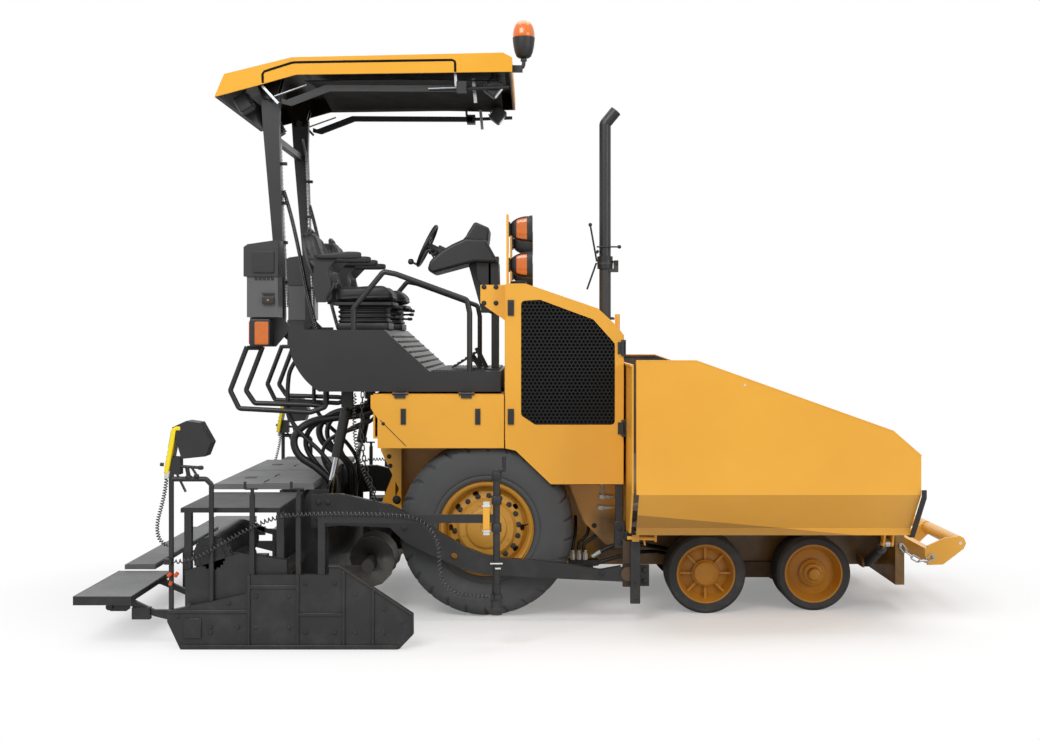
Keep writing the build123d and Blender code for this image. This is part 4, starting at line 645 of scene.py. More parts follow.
def two_tone(name, first, second, mask, dust=0.12):
    """The first coating where mask(tree) is 0 and the second where it is 1."""
    material = bpy.data.materials.new(name)
    material.use_nodes = True
    tree = material.node_tree
    shader = tree.nodes["Principled BSDF"]
    finishes = []
    for group, colour, tone, smoothness, _ in (first, second):
        finish = add_node(tree, "ShaderNodeGroup", node_tree=group)
        finish.inputs["Colour"].default_value = (*colour, 1)
        finish.inputs["Tone"].default_value = (*tone, 1)
        finish.inputs["Dust amount"].default_value = dust
        finish.inputs["Smoothness"].default_value = smoothness
        finishes.append(finish)
    where = mask(tree)
    colour = blend_colour(tree, where, finishes[0].outputs["Colour"], finishes[1].outputs["Colour"])
    rough = add_node(tree, "ShaderNodeMix", {0: where, 2: finishes[0].outputs["Roughness"],
                                             3: finishes[1].outputs["Roughness"]}, data_type="FLOAT")
    relief = add_node(tree, "ShaderNodeBump", {"Height": finishes[0].outputs["Height"], "Strength": first[4],
                                               "Distance": 0.001})
    tree.links.new(colour, shader.inputs["Base Color"])
    tree.links.new(rough.outputs[0], shader.inputs["Roughness"])
    tree.links.new(relief.outputs["Normal"], shader.inputs["Normal"])
    shader.inputs["Coat Weight"].default_value = 0.2
    shader.inputs["Coat Roughness"].default_value = 0.12
    return material


def proud_of_doors(tree):
    """Latches and hinges stand proud of the doors' faces."""
    return above(tree, place_parts(tree)["out"], 0.8804)


def tow_guides(tree):
    """The tow guides, outboard of the frame and behind the front axles."""
    place = place_parts(tree)
    outboard = above(tree, place["out"], 0.70)
    return maths(tree, "MULTIPLY", outboard, maths(tree, "SUBTRACT", 1.0, above(tree, place["X"], 1.2)))


def under_the_roof(tree):
    """Inner faces of the roof: not on its outer side walls, not facing up, and not its front or rear face."""
    place = place_parts(tree)
    facing = add_node(
        tree, "ShaderNodeSeparateXYZ", {0: add_node(tree, "ShaderNodeTexCoord").outputs["Normal"]})
    outer = maths(
        tree, "MAXIMUM", above(tree, place["out"], 0.7165),
        maths(
            tree, "MAXIMUM", above(tree, facing.outputs["Z"], 0.05, 0.01),
            above(tree, place["X"], -0.2225)))
    return maths(tree, "SUBTRACT", 1.0, outer)


def inside_hopper(tree):
    """Faces of a wing that look up or inboard, where asphalt has worn the paint."""
    place = place_parts(tree)
    facing = add_node(
        tree, "ShaderNodeSeparateXYZ", {0: add_node(tree, "ShaderNodeTexCoord").outputs["Normal"]})
    side_of = maths(tree, "SIGN", place["Y"])
    inward = maths(tree, "MULTIPLY", maths(tree, "MULTIPLY", facing.outputs["Y"], side_of), -1.0)
    wall = maths(tree, "MULTIPLY", above(tree, inward, 0.3, 0.05), above(tree, place["Z"], 0.6))
    bottom = maths(tree, "MULTIPLY", above(tree, facing.outputs["Z"], 0.2, 0.05),
                   maths(tree, "SUBTRACT", 1.0, above(tree, place["Z"], 0.82)))
    patch = span_of(tree, noise(tree, object_place(tree), 3.0, 6.0, 0.6), 0.3, 0.5)
    return maths(
        tree, "MULTIPLY", maths(tree, "MAXIMUM", wall, bottom), span_of(tree, patch, 0.0, 1.0, 0.75, 1.0))


def rear_of_hopper(tree):
    """The hopper bulkhead's rear face and edges, painted like the body."""
    return maths(tree, "SUBTRACT", 1.0, above(tree, place_parts(tree)["X"], 0.4932))


def lower_cabinet(tree):
    """The light grey lower half of the rear cabinets."""
    place = place_parts(tree)
    over_seam = above(tree, place["Z"], 1.833)
    return maths(tree, "MULTIPLY", over_seam, maths(tree, "SUBTRACT", 1.0, above(tree, place["Z"], 2.081)))


def paint_shade_over(material, colour, where, least, most):
    """Painted shade over a finish: colour = mix(coat, shade colour, mask x cloud), where a mask says."""
    tree = material.node_tree
    base = tree.nodes["Principled BSDF"].inputs["Base Color"]
    coat = base.links[0].from_socket
    cloud = noise(tree, object_place(tree), 5.0, 6.0, 0.6)
    amount = maths(tree, "MULTIPLY", where(tree), span_of(tree, cloud, 0.3, 0.7, least, most))
    tree.links.new(blend_colour(tree, amount, coat, (*colour, 1)), base)


def shade_under_the_hopper(tree):
    """The frame's sides between the front wheels and up to the bumper, where the wing's shade is painted."""
    place = place_parts(tree)
    low = span_of(tree, place["Z"], 0.64, 0.56)
    return maths(tree, "MULTIPLY", low, above(tree, place["X"], 0.30, 0.05))


FOLD_REAR_X, FOLD_REAR_Z, FOLD_SLOPE = 0.517, 0.676, 0.101


def shade_below_the_fold(tree):
    """The wing's outer face under its slanting lower fold, which leans inward: painted shade."""
    place = place_parts(tree)
    fold = maths(tree, "SUBTRACT", FOLD_REAR_Z + FOLD_SLOPE * FOLD_REAR_X,
                 maths(tree, "MULTIPLY", place["X"], FOLD_SLOPE))
    return maths(tree, "MULTIPLY", above(tree, maths(tree, "SUBTRACT", fold, place["Z"]), 0.0, 0.001),
                 above(tree, place["out"], 1.00))


door_enamel = two_tone("door_enamel", YELLOW_COAT, DARK_COAT, proud_of_doors)
frame_enamel = two_tone("frame_enamel", YELLOW_COAT, DARK_COAT, tow_guides)
roof_enamel = two_tone("roof_enamel", YELLOW_COAT, BROWN_COAT, under_the_roof)
wing_enamel = two_tone(
    "wing_enamel", YELLOW_COAT, (CAST_GROUP, srgb(84, 76, 68), srgb(52, 46, 42), 0.5, 0.2), inside_hopper)
hopper_enamel = two_tone("hopper_enamel", (PAINT_GROUP, srgb(72, 66, 60), srgb(54, 48, 43), 0.5, 0.3),
                         YELLOW_COAT, rear_of_hopper)
cabinet_enamel = two_tone("cabinet_enamel", DARK_COAT, GREY_COAT, lower_cabinet)
roof_shader = roof_enamel.node_tree.nodes["Principled BSDF"]
roof_shader.inputs["Coat Weight"].default_value = 0.0
roof_shader.inputs["Specular IOR Level"].default_value = 0.15
# Painted shade: the frame's sides under the hopper, darkened towards brown.
paint_shade_over(frame_enamel, srgb(80, 56, 26), shade_under_the_hopper, 0.7, 0.95)
# Painted shade: a darker band on the wing's outer face below its slanting fold.
paint_shade_over(wing_enamel, srgb(128, 90, 36), shade_below_the_fold, 0.55, 0.65)
# Painted shade: the bogie beams wear the body's yellow darkened to a shaded brown.
shaded_bogie_enamel = coated(
    "shaded_bogie_enamel", PAINT_GROUP, srgb(104, 74, 32), srgb(80, 56, 26), 0.5, dust=0.2, bump=0.1)
FINISHED_NODES = {
    door_enamel: [
        "engine_door_right", "engine_door_left", "locker_door_right", "locker_door_left", "engine_hood",
        "side_lockers"],
    frame_enamel: ["main_frame"],
    roof_enamel: ["canopy_roof"],
    wing_enamel: ["hopper_wing_right", "hopper_wing_left"],
    cabinet_enamel: ["rear_cabinets"],
    shaded_bogie_enamel: ["bogie_beams"],
    shaded_rim_enamel: ["rear_rim_right", "rear_rim_left"],
    hopper_enamel: ["hopper_box"],
}
for finish, names in FINISHED_NODES.items():
    for name in names:
        nodes[name].data.materials.clear()
        nodes[name].data.materials.append(finish)


def lens_material(name, colour, glow=0.0, roughness=0.12, ribs=90.0):
    """A clear moulded lens over a bright reflector, with fine vertical flutes."""
    material = bpy.data.materials.new(name)
    material.use_nodes = True
    tree = material.node_tree
    shader = tree.nodes["Principled BSDF"]
    place = object_place(tree)
    flutes = add_node(tree, "ShaderNodeTexWave", {"Vector": place, "Scale": ribs, "Distortion": 0.0},
                      wave_type="BANDS", bands_direction="X", wave_profile="SIN")
    cloud = noise(tree, place, 30.0, 2.0)
    deep = tuple(0.72 * value for value in colour)
    tree.links.new(blend_colour(tree, cloud, (*colour, 1), (*deep, 1)), shader.inputs["Base Color"])
    relief = add_node(
        tree, "ShaderNodeBump", {"Height": flutes.outputs["Fac"], "Strength": 0.25, "Distance": 0.001})
    tree.links.new(relief.outputs["Normal"], shader.inputs["Normal"])
    tree.links.new(span_of(tree, cloud, 0.2, 0.8, roughness, roughness + 0.08), shader.inputs["Roughness"])
    shader.inputs["Coat Weight"].default_value = 0.6
    shader.inputs["Emission Color"].default_value = (*colour, 1)
    shader.inputs["Emission Strength"].default_value = glow
    return material


amber = lens_material("amber_lens", srgb(222, 112, 14), 0.0)
beacon_amber = lens_material("beacon_lens", srgb(238, 118, 14), 0.02, ribs=60.0)
clear_lens = lens_material("clear_lens", srgb(126, 130, 134), 0.0, ribs=120.0)
screen_glass = coated(
    "screen_glass", PAINT_GROUP, srgb(22, 24, 27), srgb(16, 17, 20), 0.1, dust=0.0, bump=0.01, coat=0.8)
safety_yellow = coated("safety_yellow", PAINT_GROUP, srgb(250, 224, 10), srgb(240, 212, 6), 0.35, dust=0.05,
                       bump=0.05, coat=0.2)
red_cap = coated("orange_caps", PLASTIC_GROUP, srgb(214, 84, 30), srgb(190, 70, 24), 0.4, dust=0.05, bump=0.1)
pale_fitting = coated(
    "zinc_fitting", CAST_GROUP, srgb(226, 226, 222), srgb(206, 206, 200), 0.25, dust=0.02, bump=0.1,
    metallic=0.15)


def anti_slip(name, colour, tone):
    """Deck paint with rows of raised drops, worn between them."""
    material = coated(name, CAST_GROUP, colour, tone, 0.55, dust=0.25, bump=0.3)
    tree = material.node_tree
    shader = tree.nodes["Principled BSDF"]
    place = object_place(tree)
    cells = add_node(tree, "ShaderNodeTexVoronoi", {"Vector": place, "Scale": 45.0, "Randomness": 0.15})
    drops = span_of(tree, cells.outputs["Distance"], 0.32, 0.18)
    first = shader.inputs["Normal"].links[0].from_socket
    relief = add_node(
        tree, "ShaderNodeBump", {"Height": drops, "Strength": 0.35, "Distance": 0.002, "Normal": first})
    tree.links.new(relief.outputs["Normal"], shader.inputs["Normal"])
    return material


deck_grey = anti_slip("deck_anti_slip", srgb(112, 113, 114), srgb(92, 93, 94))
deck_dark = anti_slip("deck_anti_slip_dark", srgb(62, 62, 63), srgb(48, 48, 49))
nodes["screed_decks"].data.materials.clear()
nodes["screed_decks"].data.materials.append(deck_grey)

# rounded forms
def soft_box(x_span, y_span, z_span, power=0.3, steps=48):
    """A closed box with rounded corners.

    P = centre + half sgn(c) |c|^power for c = cos v cos u, cos v sin u, sin v.
    """
    spans = np.sort(np.array([x_span, y_span, z_span], float), axis=1)
    centre, half = spans.mean(axis=1), (spans[:, 1] - spans[:, 0]) / 2
    around = np.linspace(0, 2 * pi, steps, endpoint=False)[None, :]
    rise = np.linspace(-pi / 2, pi / 2, steps // 2 + 1)[1:-1, None]
    swell = np.sign(np.cos(rise)) * np.abs(np.cos(rise)) ** power
    ring = np.stack([swell * np.sign(np.cos(around)) * np.abs(np.cos(around)) ** power,
                     swell * np.sign(np.sin(around)) * np.abs(np.sin(around)) ** power,
                     np.sign(np.sin(rise)) * np.abs(np.sin(rise)) ** power + 0 * around], axis=-1)
    rows, columns = ring.shape[:2]
    points = centre + half * ring.reshape(-1, 3)
    quads = grid_faces(rows, columns, close_columns=True)
    poles = np.array([centre - (0, 0, half[2]), centre + (0, 0, half[2])])
    low, high = rows * columns, rows * columns + 1
    across = np.arange(columns)
    after = (across + 1) % columns
    fans = np.concatenate([np.stack([after, across, np.full(columns, low)], axis=-1),
                           np.stack([(rows - 1) * columns + across, (rows - 1) * columns + after,
                                     np.full(columns, high)], axis=-1)])
    return np.concatenate([points, poles]), quads, fans


def turned_by(points, centre, degrees):
    """Points turned about the Y direction through a centre, from +X towards -Z."""
    angle = radians(degrees)
    offset = np.asarray(points, float) - centre
    x = offset[:, 0] * np.cos(angle) + offset[:, 2] * np.sin(angle)
    z = -offset[:, 0] * np.sin(angle) + offset[:, 2] * np.cos(angle)
    return np.stack([x, offset[:, 1], z], axis=-1) + centre


def rod_part(start, end, radius, sides=16):
    """A closed round bar between two points."""
    return capped_tube(np.linspace(start, end, 2), radius, sides)

# seats
def read_mesh(mesh):
    """A mesh's points and its normals as arrays."""
    points, normals = np.empty(len(mesh.vertices) * 3), np.empty(len(mesh.vertices) * 3)
    mesh.vertices.foreach_get("co", points)
    mesh.vertices.foreach_get("normal", normals)
    return points.reshape(-1, 3), normals.reshape(-1, 3)


def puffed_pad(name, part, cap, voxel=0.006):
    """A closed form rebuilt in even cells and swollen as cloth, no point moving further than the cap."""
    source = bpy.data.objects.new(name, mesh_from(name, *part))
    bpy.context.scene.collection.objects.link(source)
    cells = source.modifiers.new("cells", "REMESH")
    cells.mode = "VOXEL"
    cells.voxel_size = voxel
    bpy.context.view_layer.update()
    even = bpy.data.meshes.new_from_object(source.evaluated_get(bpy.context.evaluated_depsgraph_get()))
    source.modifiers.clear()
    source.data = even
    start, _ = read_mesh(even)
    swell = source.modifiers.new("cloth", "CLOTH")
    swell.settings.quality = 4
    swell.settings.use_pressure = True
    swell.settings.uniform_pressure_force = 4.0
    swell.settings.effector_weights.gravity = 0.0
    swell.point_cache.frame_start, swell.point_cache.frame_end = 1, 20
    for step in range(1, 21):
        bpy.context.scene.frame_set(step)
    done = bpy.data.meshes.new_from_object(source.evaluated_get(bpy.context.evaluated_depsgraph_get()))
    end, _ = read_mesh(done)
    move = end - start
    reach = np.linalg.norm(move, axis=1, keepdims=True)
    even.vertices.foreach_set(
        "co", (start + move * np.minimum(1.0, cap / np.maximum(reach, 1e-9))).ravel())
    even.update()
    bpy.context.scene.frame_set(1)
    bpy.data.objects.remove(source)
    return even


def seamed(mesh, seams, depth=0.0045, width=0.005):
    """Points pulled in along seams: P -= depth exp(-(d / width)^2) normal, d(P) being a seam's distance."""
    points, normals = read_mesh(mesh)
    pull = np.zeros(len(points))
    for distance in seams:
        pull = np.maximum(pull, np.exp(-((distance(points) / width) ** 2)))
    mesh.vertices.foreach_set("co", (points - depth * pull[:, None] * normals).ravel())
    mesh.update()
    return mesh


def seat_pad(name, mesh, offset):
    """A pad's mesh carried to its seat, made smooth, with its vinyl."""
    own = mesh.copy()
    own.transform(Matrix.Translation(offset))
    pad = new_object(name, own, vinyl, "tractor", 80)
    finer = pad.modifiers.new("finer", "SUBSURF")
    finer.levels = finer.render_levels = 1
    return pad


SEAT_OUT = 0.450
cushion_points, *cushion_faces = soft_box((-1.335, -0.955), (-0.205, 0.205), (1.935, 2.008), 0.34)
sideways = np.clip((np.abs(cushion_points[:, 1]) - 0.11) / 0.08, 0, 1)
over_edge = np.clip((cushion_points[:, 0] + 1.02) / 0.07, 0, 1) ** 2
on_top = cushion_points[:, 2] > 1.97
lean_back = 0.030 * (cushion_points[:, 0] + 1.335)
cushion_points[:, 2] += 0.012 * sideways * on_top + lean_back - 0.05 * over_edge * on_top
cushion_mesh = puffed_pad("seat_cushion", (cushion_points, *cushion_faces), 0.009)
cushion_mesh = seamed(cushion_mesh, [lambda p: np.where(p[:, 2] > 1.965, np.abs(p[:, 1]) - 0.128, 1.0),
                                     lambda p: np.where(np.abs(p[:, 1]) < 0.128, p[:, 0] + 1.205, 1.0),
                                     lambda p: np.where(np.abs(p[:, 1]) < 0.128, p[:, 0] + 1.085, 1.0),
                                     lambda p: p[:, 2] - 1.958 - 0.030 * (p[:, 0] + 1.335)])

back_points, *back_faces = soft_box((-0.036, 0.036), (-0.200, 0.200), (0.0, 0.395), 0.34)
up = back_points[:, 2] / 0.395
back_points[:, 1] *= 1.0 - 0.26 * np.clip((up - 0.45) / 0.55, 0, 1) ** 2
side_roll = np.clip((np.abs(back_points[:, 1]) - 0.10) / 0.07, 0, 1) * (back_points[:, 0] > 0)
back_points[:, 0] += 0.022 * side_roll - 0.020 * np.sin(pi * up) - 0.018 * up
back_points = turned_by(back_points, (0, 0, 0), -17.5) + (-1.372, 0.0, 2.004)
back_mesh = puffed_pad("seat_back", (back_points, *back_faces), 0.009)
back_mesh = seamed(back_mesh, [
    lambda p: np.where(p[:, 0] > -1.41 - 0.33 * (p[:, 2] - 2.1), np.abs(p[:, 1]) - 0.118, 1.0),
    lambda p: np.where(np.abs(p[:, 1]) < 0.118, p[:, 2] - 2.150, 1.0),
    lambda p: np.where(np.abs(p[:, 1]) < 0.118, p[:, 2] - 2.265, 1.0),
    lambda p: p[:, 0] + 1.392 + 0.315 * (p[:, 2] - 2.05)])

for side_name, side in SIDES:
    middle = (0.0, side * SEAT_OUT, 0.0)
    cushion = seat_pad(f"seat_cushion_{side_name}", cushion_mesh, middle)
    seat_pad(f"seat_back_{side_name}", back_mesh, middle)
    if side < 0:
        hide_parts("seats")

    # Moulded seat shell behind the back, its top bar, the hinge covers and the armrests with their brackets
    shell_points, *shell_faces = soft_box((-0.014, 0.014), (-0.196, 0.196), (0.0, 0.40), 0.3)
    shell_points[:, 1] *= 1.0 - 0.30 * np.clip((shell_points[:, 2] / 0.40 - 0.45) / 0.55, 0, 1) ** 2
    shell_points[:, 0] += -0.016 * np.sin(pi * shell_points[:, 2] / 0.40)
    shell_points = turned_by(shell_points, (0, 0, 0), -18.5) + (-1.412, side * SEAT_OUT, 1.985)
    loop = smooth_path([
        (-1.435, -0.10, 2.10), (-1.475, -0.095, 2.30), (-1.500, -0.085, 2.372), (-1.508, 0.0, 2.392),
        (-1.500, 0.085, 2.372), (-1.475, 0.095, 2.30), (-1.435, 0.10, 2.10)], 48) + (0, side * SEAT_OUT, 0)
    parts = [(shell_points, *shell_faces), capped_tube(loop, 0.013, 12)]
    for arm_side in (-1, 1):
        arm_y = side * SEAT_OUT + arm_side * 0.252
        arm, *arm_faces = soft_box((-1.440, -1.150), (arm_y - 0.024, arm_y + 0.024), (2.196, 2.240), 0.34, 40)
        arm[:, 2] -= 0.018 * np.clip((-1.23 - arm[:, 0]) / 0.2, 0, 1) * (arm[:, 2] > 2.22)
        parts.append((arm, *arm_faces))
        web = [
            (-1.432, 1.925), (-1.372, 1.925), (-1.338, 2.02), (-1.365, 2.13), (-1.300, 2.198),
            (-1.440, 2.198), (-1.452, 2.05)]
        parts.append(prism_part(web, "Y", (arm_y - 0.007 * arm_side, arm_y - 0.019 * arm_side)))
        cover, *cover_faces = soft_box(
            (-1.435, -1.335), (arm_y - 0.038 * arm_side, arm_y - 0.016 * arm_side), (1.928, 2.028), 0.6, 32)
        parts.append((cover, *cover_faces))
    add_piece(f"seat_shell_{side_name}", parts, plastic, "tractor")
    belt = smooth_path([
        (-1.375, -0.236, 1.945), (-1.345, -0.243, 1.985), (-1.325, -0.240, 2.03),
        (-1.315, -0.232, 2.07)], 16) + (0, side * SEAT_OUT, 0)
    buckle, *buckle_faces = soft_box(
        (-1.337, -1.300), (side * SEAT_OUT - 0.246, side * SEAT_OUT - 0.222), (2.045, 2.115), 0.4, 24)
    add_piece(
        f"belt_buckle_{side_name}", [capped_tube(belt, 0.009, 10), (buckle, *buckle_faces)], hose_rubber,
        "tractor")

    # Stand: mounting plate, folded rubber bellows and the pan under the cushion, with its levers
    stand = [
        soft_box(
            (-1.320, -0.990), (side * SEAT_OUT - 0.170, side * SEAT_OUT + 0.170), (1.755, 1.800), 0.12, 40),
        soft_box(
            (-1.345, -0.960), (side * SEAT_OUT - 0.200, side * SEAT_OUT + 0.200), (1.908, 1.930), 0.14, 40)]
    fold_z = np.linspace(1.796, 1.912, 61)
    fold_in = 0.012 * (0.5 + 0.5 * np.cos((fold_z - 1.796) / 0.029 * 2 * pi))
    ring_angle = np.linspace(0, 2 * pi, 64, endpoint=False)
    square = np.stack([np.sign(np.cos(ring_angle)) * np.abs(np.cos(ring_angle)) ** 0.25,
                       np.sign(np.sin(ring_angle)) * np.abs(np.sin(ring_angle)) ** 0.25], axis=-1)
    bellows = np.stack([-1.155 + (0.160 - fold_in[:, None]) * square[None, :, 0],
                        side * SEAT_OUT + (0.165 - fold_in[:, None]) * square[None, :, 1],
                        np.broadcast_to(fold_z[:, None], (61, 64))], axis=-1)
    stand.append((bellows.reshape(-1, 3), grid_faces(61, 64, close_columns=True)))
    for lever_z, lever_y in ((1.900, -0.11), (1.868, 0.03), (1.835, -0.09), (1.895, 0.10)):
        lever_y = side * SEAT_OUT + lever_y
        stand.append(rod_part((-1.00, lever_y, lever_z), (-0.945, lever_y, lever_z), 0.007, 10))
        stand.append(soft_box((-0.962, -0.926), (lever_y - 0.012, lever_y + 0.012),
                              (lever_z - 0.011, lever_z + 0.011), 0.6, 16))
    stand_piece = add_piece(f"seat_stand_{side_name}", stand, plastic, "tractor", 45)
    if side < 0:
        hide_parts("seat_stands")

# steering console
CONSOLE_Y = -0.300
wide = (CONSOLE_Y - 0.205, CONSOLE_Y + 0.205)
body_line = [
    (-0.757, 2.137), (-0.740, 2.196), (-0.668, 2.260), (-0.600, 2.300), (-0.511, 2.340), (-0.380, 2.330),
    (-0.369, 2.302), (-0.302, 2.182), (-0.459, 2.185), (-0.534, 2.167), (-0.727, 2.115)]
hood_line = [
    (-0.560, 2.300), (-0.511, 2.356), (-0.455, 2.446), (-0.362, 2.406), (-0.372, 2.320), (-0.390, 2.290)]
console_body = add_piece(
    "console_body", [prism_part(body_line[::-1], "Y", wide)], plastic, "console")
bevelled(console_body, 0.018, 3)
console_hood = add_piece(
    "console_hood", [prism_part(hood_line[::-1], "Y", (wide[0] + 0.03, wide[1] - 0.03))], plastic,
    "console")
bevelled(console_hood, 0.014, 3)
leg_line = [
    (-0.500, 2.170), (-0.420, 1.885), (-0.354, 1.860), (-0.354, 1.512), (-0.306, 1.512), (-0.306, 2.230),
    (-0.460, 2.230)]
cheek_line = [(-0.452, 2.190), (-0.305, 2.190), (-0.300, 1.985), (-0.372, 1.985), (-0.440, 2.080)]
console_frame = [prism_part(leg_line[::-1], "Y", (CONSOLE_Y - 0.060, CONSOLE_Y + 0.060))]
for plate_y in (CONSOLE_Y - 0.150, CONSOLE_Y + 0.142):
    console_frame.append(prism_part(cheek_line[::-1], "Y", (plate_y, plate_y + 0.008)))
console_frame.append(box_part((-0.372, -0.352), (CONSOLE_Y - 0.15, CONSOLE_Y + 0.15), (1.990, 2.185)))
console_frame.append(box_part((-0.420, -0.310), (CONSOLE_Y - 0.08, CONSOLE_Y + 0.08), (1.868, 1.892)))
console_frame.append(rod_part((-0.345, CONSOLE_Y - 0.10, 1.945), (-0.345, CONSOLE_Y + 0.10, 1.945), 0.015))
stand = add_piece("console_stand", console_frame, dark, "console")
bevelled(stand, 0.003, 2)
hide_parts("console")
column_axis = unit(np.array([-0.903, 0.0, 0.429]))
wheel_centre = np.array([-0.772, CONSOLE_Y, 2.302])
column = [rod_part(wheel_centre - column_axis * 0.105, wheel_centre - column_axis * 0.024, 0.026, 24),
          rod_part(wheel_centre - column_axis * 0.115, wheel_centre - column_axis * 0.070, 0.040, 24)]
for stalk_y, drop in ((-0.125, -0.030), (0.115, 0.020)):
    root = wheel_centre - column_axis * 0.075
    tip = root + (drop * 0.5, stalk_y, drop)
    column.append(rod_part(root, tip, 0.006, 10))
    column.append(soft_box(*zip(tip - (0.011, 0.022, 0.011), tip + (0.011, 0.022, 0.011)), 0.6, 16))
add_piece("column_and_stalks", column, plastic, "console")

# Panel: two screens, rows of keys, two levers with ball knobs and a travel lever
face_low, face_high = np.array([-0.740, CONSOLE_Y, 2.196]), np.array([-0.511, CONSOLE_Y, 2.340])
along = unit(face_high - face_low)
lift = unit(np.array([-along[2], 0.0, along[0]]))


def on_panel(along_by, across_by, up_by=0.0):
    """A place on the sloped panel, measured from its lower edge, from its middle and above it."""
    return face_low + along * along_by + np.array([0, across_by, 0]) + lift * up_by


def panel_slab(along_span, across_span, thick):
    """A flat block lying on the sloped panel."""
    corners = np.array([on_panel(a, b, c) for a in along_span for b in across_span for c in (-0.004, thick)])
    return corners, BOX_FACES


key_places = [(a, b) for a in (0.055, 0.080, 0.105, 0.130) for b in np.linspace(-0.16, -0.06, 5)]
key_places += [(a, b) for a in (0.055, 0.080) for b in np.linspace(0.06, 0.16, 5)]
keys = merge([panel_slab((a, a + 0.016), (b, b + 0.015), 0.004) for a, b in key_places])
add_piece("panel_keys", [keys], pale_fitting, "console")
screen_face = unit(np.array([0.056, 0.0, 0.090]))
screens = [panel_slab((0.115, 0.185), (0.055, 0.165), 0.005)]
hood_low = np.array([-0.511, CONSOLE_Y, 2.356])
hood_side = np.array([-screen_face[2], 0.0, screen_face[0]])
for low, high in ((-0.15, -0.01), (0.01, 0.15)):
    corners = np.array([hood_low + screen_face * a + (0, b, 0) + hood_side * c
                        for a in (0.012, 0.095) for b in (low, high) for c in (-0.004, 0.003)])
    screens.append((corners, BOX_FACES))
add_piece("panel_screens", screens, screen_glass, "console")
levers = []
for lever_along, lever_across, height in ((0.03, -0.185, 0.055), (0.02, 0.175, 0.075), (0.035, 0.150, 0.05)):
    root, top = on_panel(lever_along, lever_across), on_panel(lever_along, lever_across, height)
    levers.append(rod_part(root, top, 0.005, 10))
    levers.append(soft_box(*zip(top - 0.014, top + 0.014), 0.8, 20))
add_piece("panel_levers", levers, hose_rubber, "console")

# Spinner knob on the steering wheel
rim_low = wheel_centre + 0.138 * unit(np.array([-0.429, 0.0, -0.903]))
knob_top = rim_low + column_axis * 0.052
knob = [rod_part(rim_low, rim_low + column_axis * 0.034, 0.007, 12),
        soft_box(*zip(knob_top - 0.019, knob_top + 0.019), 0.8, 24)]
add_piece("spinner_knob", knob, plastic, "steering_wheel")

# Pedals and the foot rest in front of the seats
pedals = []
for pedal_y in (-0.47, -0.36, -0.14):
    plate = turned_by(box_part((-0.615, -0.435), (pedal_y - 0.038, pedal_y + 0.038), (1.560, 1.568))[0],
                      (-0.525, 0.0, 1.564), -33)
    pedals.append((plate, BOX_FACES))
    for rib in range(6):
        rib_x = -0.600 + 0.029 * rib
        points = turned_by(
            box_part((rib_x, rib_x + 0.010), (pedal_y - 0.032, pedal_y + 0.032), (1.567, 1.573))[0],
            (-0.525, 0.0, 1.564), -33)
        pedals.append((points, BOX_FACES))
    pedals.append(rod_part((-0.480, pedal_y, 1.590), (-0.420, pedal_y, 1.512), 0.010, 10))
    pedals.append(rod_part((-0.450, pedal_y - 0.03, 1.640), (-0.385, pedal_y - 0.03, 1.512), 0.008, 10))
pedals.append(rod_part((-0.470, -0.51, 1.560), (-0.470, -0.10, 1.560), 0.009, 10))
pedals.append(box_part((-0.500, -0.374), (-0.52, -0.09), (1.499, 1.512)))
add_piece("pedals", pedals, dark_cast, "tractor")

# roof, lamps and beacon
red_lens = lens_material("red_lens", srgb(196, 36, 22), 0.08)


def strip_part(line, half_width, y_span):
    """A thin strip along a line in the X and Z plane: P = line +- half_width normal, between two Y values."""
    line = np.asarray(line, float)
    tangent = unit(np.gradient(line, axis=0))
    normal = np.stack([-tangent[:, 1], tangent[:, 0]], axis=-1) * half_width
    ring = np.stack([line + normal, line - normal], axis=1)
    low, high = min(y_span), max(y_span)
    section = np.stack([
        np.insert(ring[:, 0], 1, low, axis=1),
        np.insert(ring[:, 1], 1, low, axis=1),
        np.insert(ring[:, 1], 1, high, axis=1),
        np.insert(ring[:, 0], 1, high, axis=1)], axis=1)
    count = len(line)
    ends = np.array([[3, 2, 1, 0], [4 * count - 4, 4 * count - 3, 4 * count - 2, 4 * count - 1]])
    return section.reshape(-1, 3), grid_faces(count, 4, close_columns=True), ends


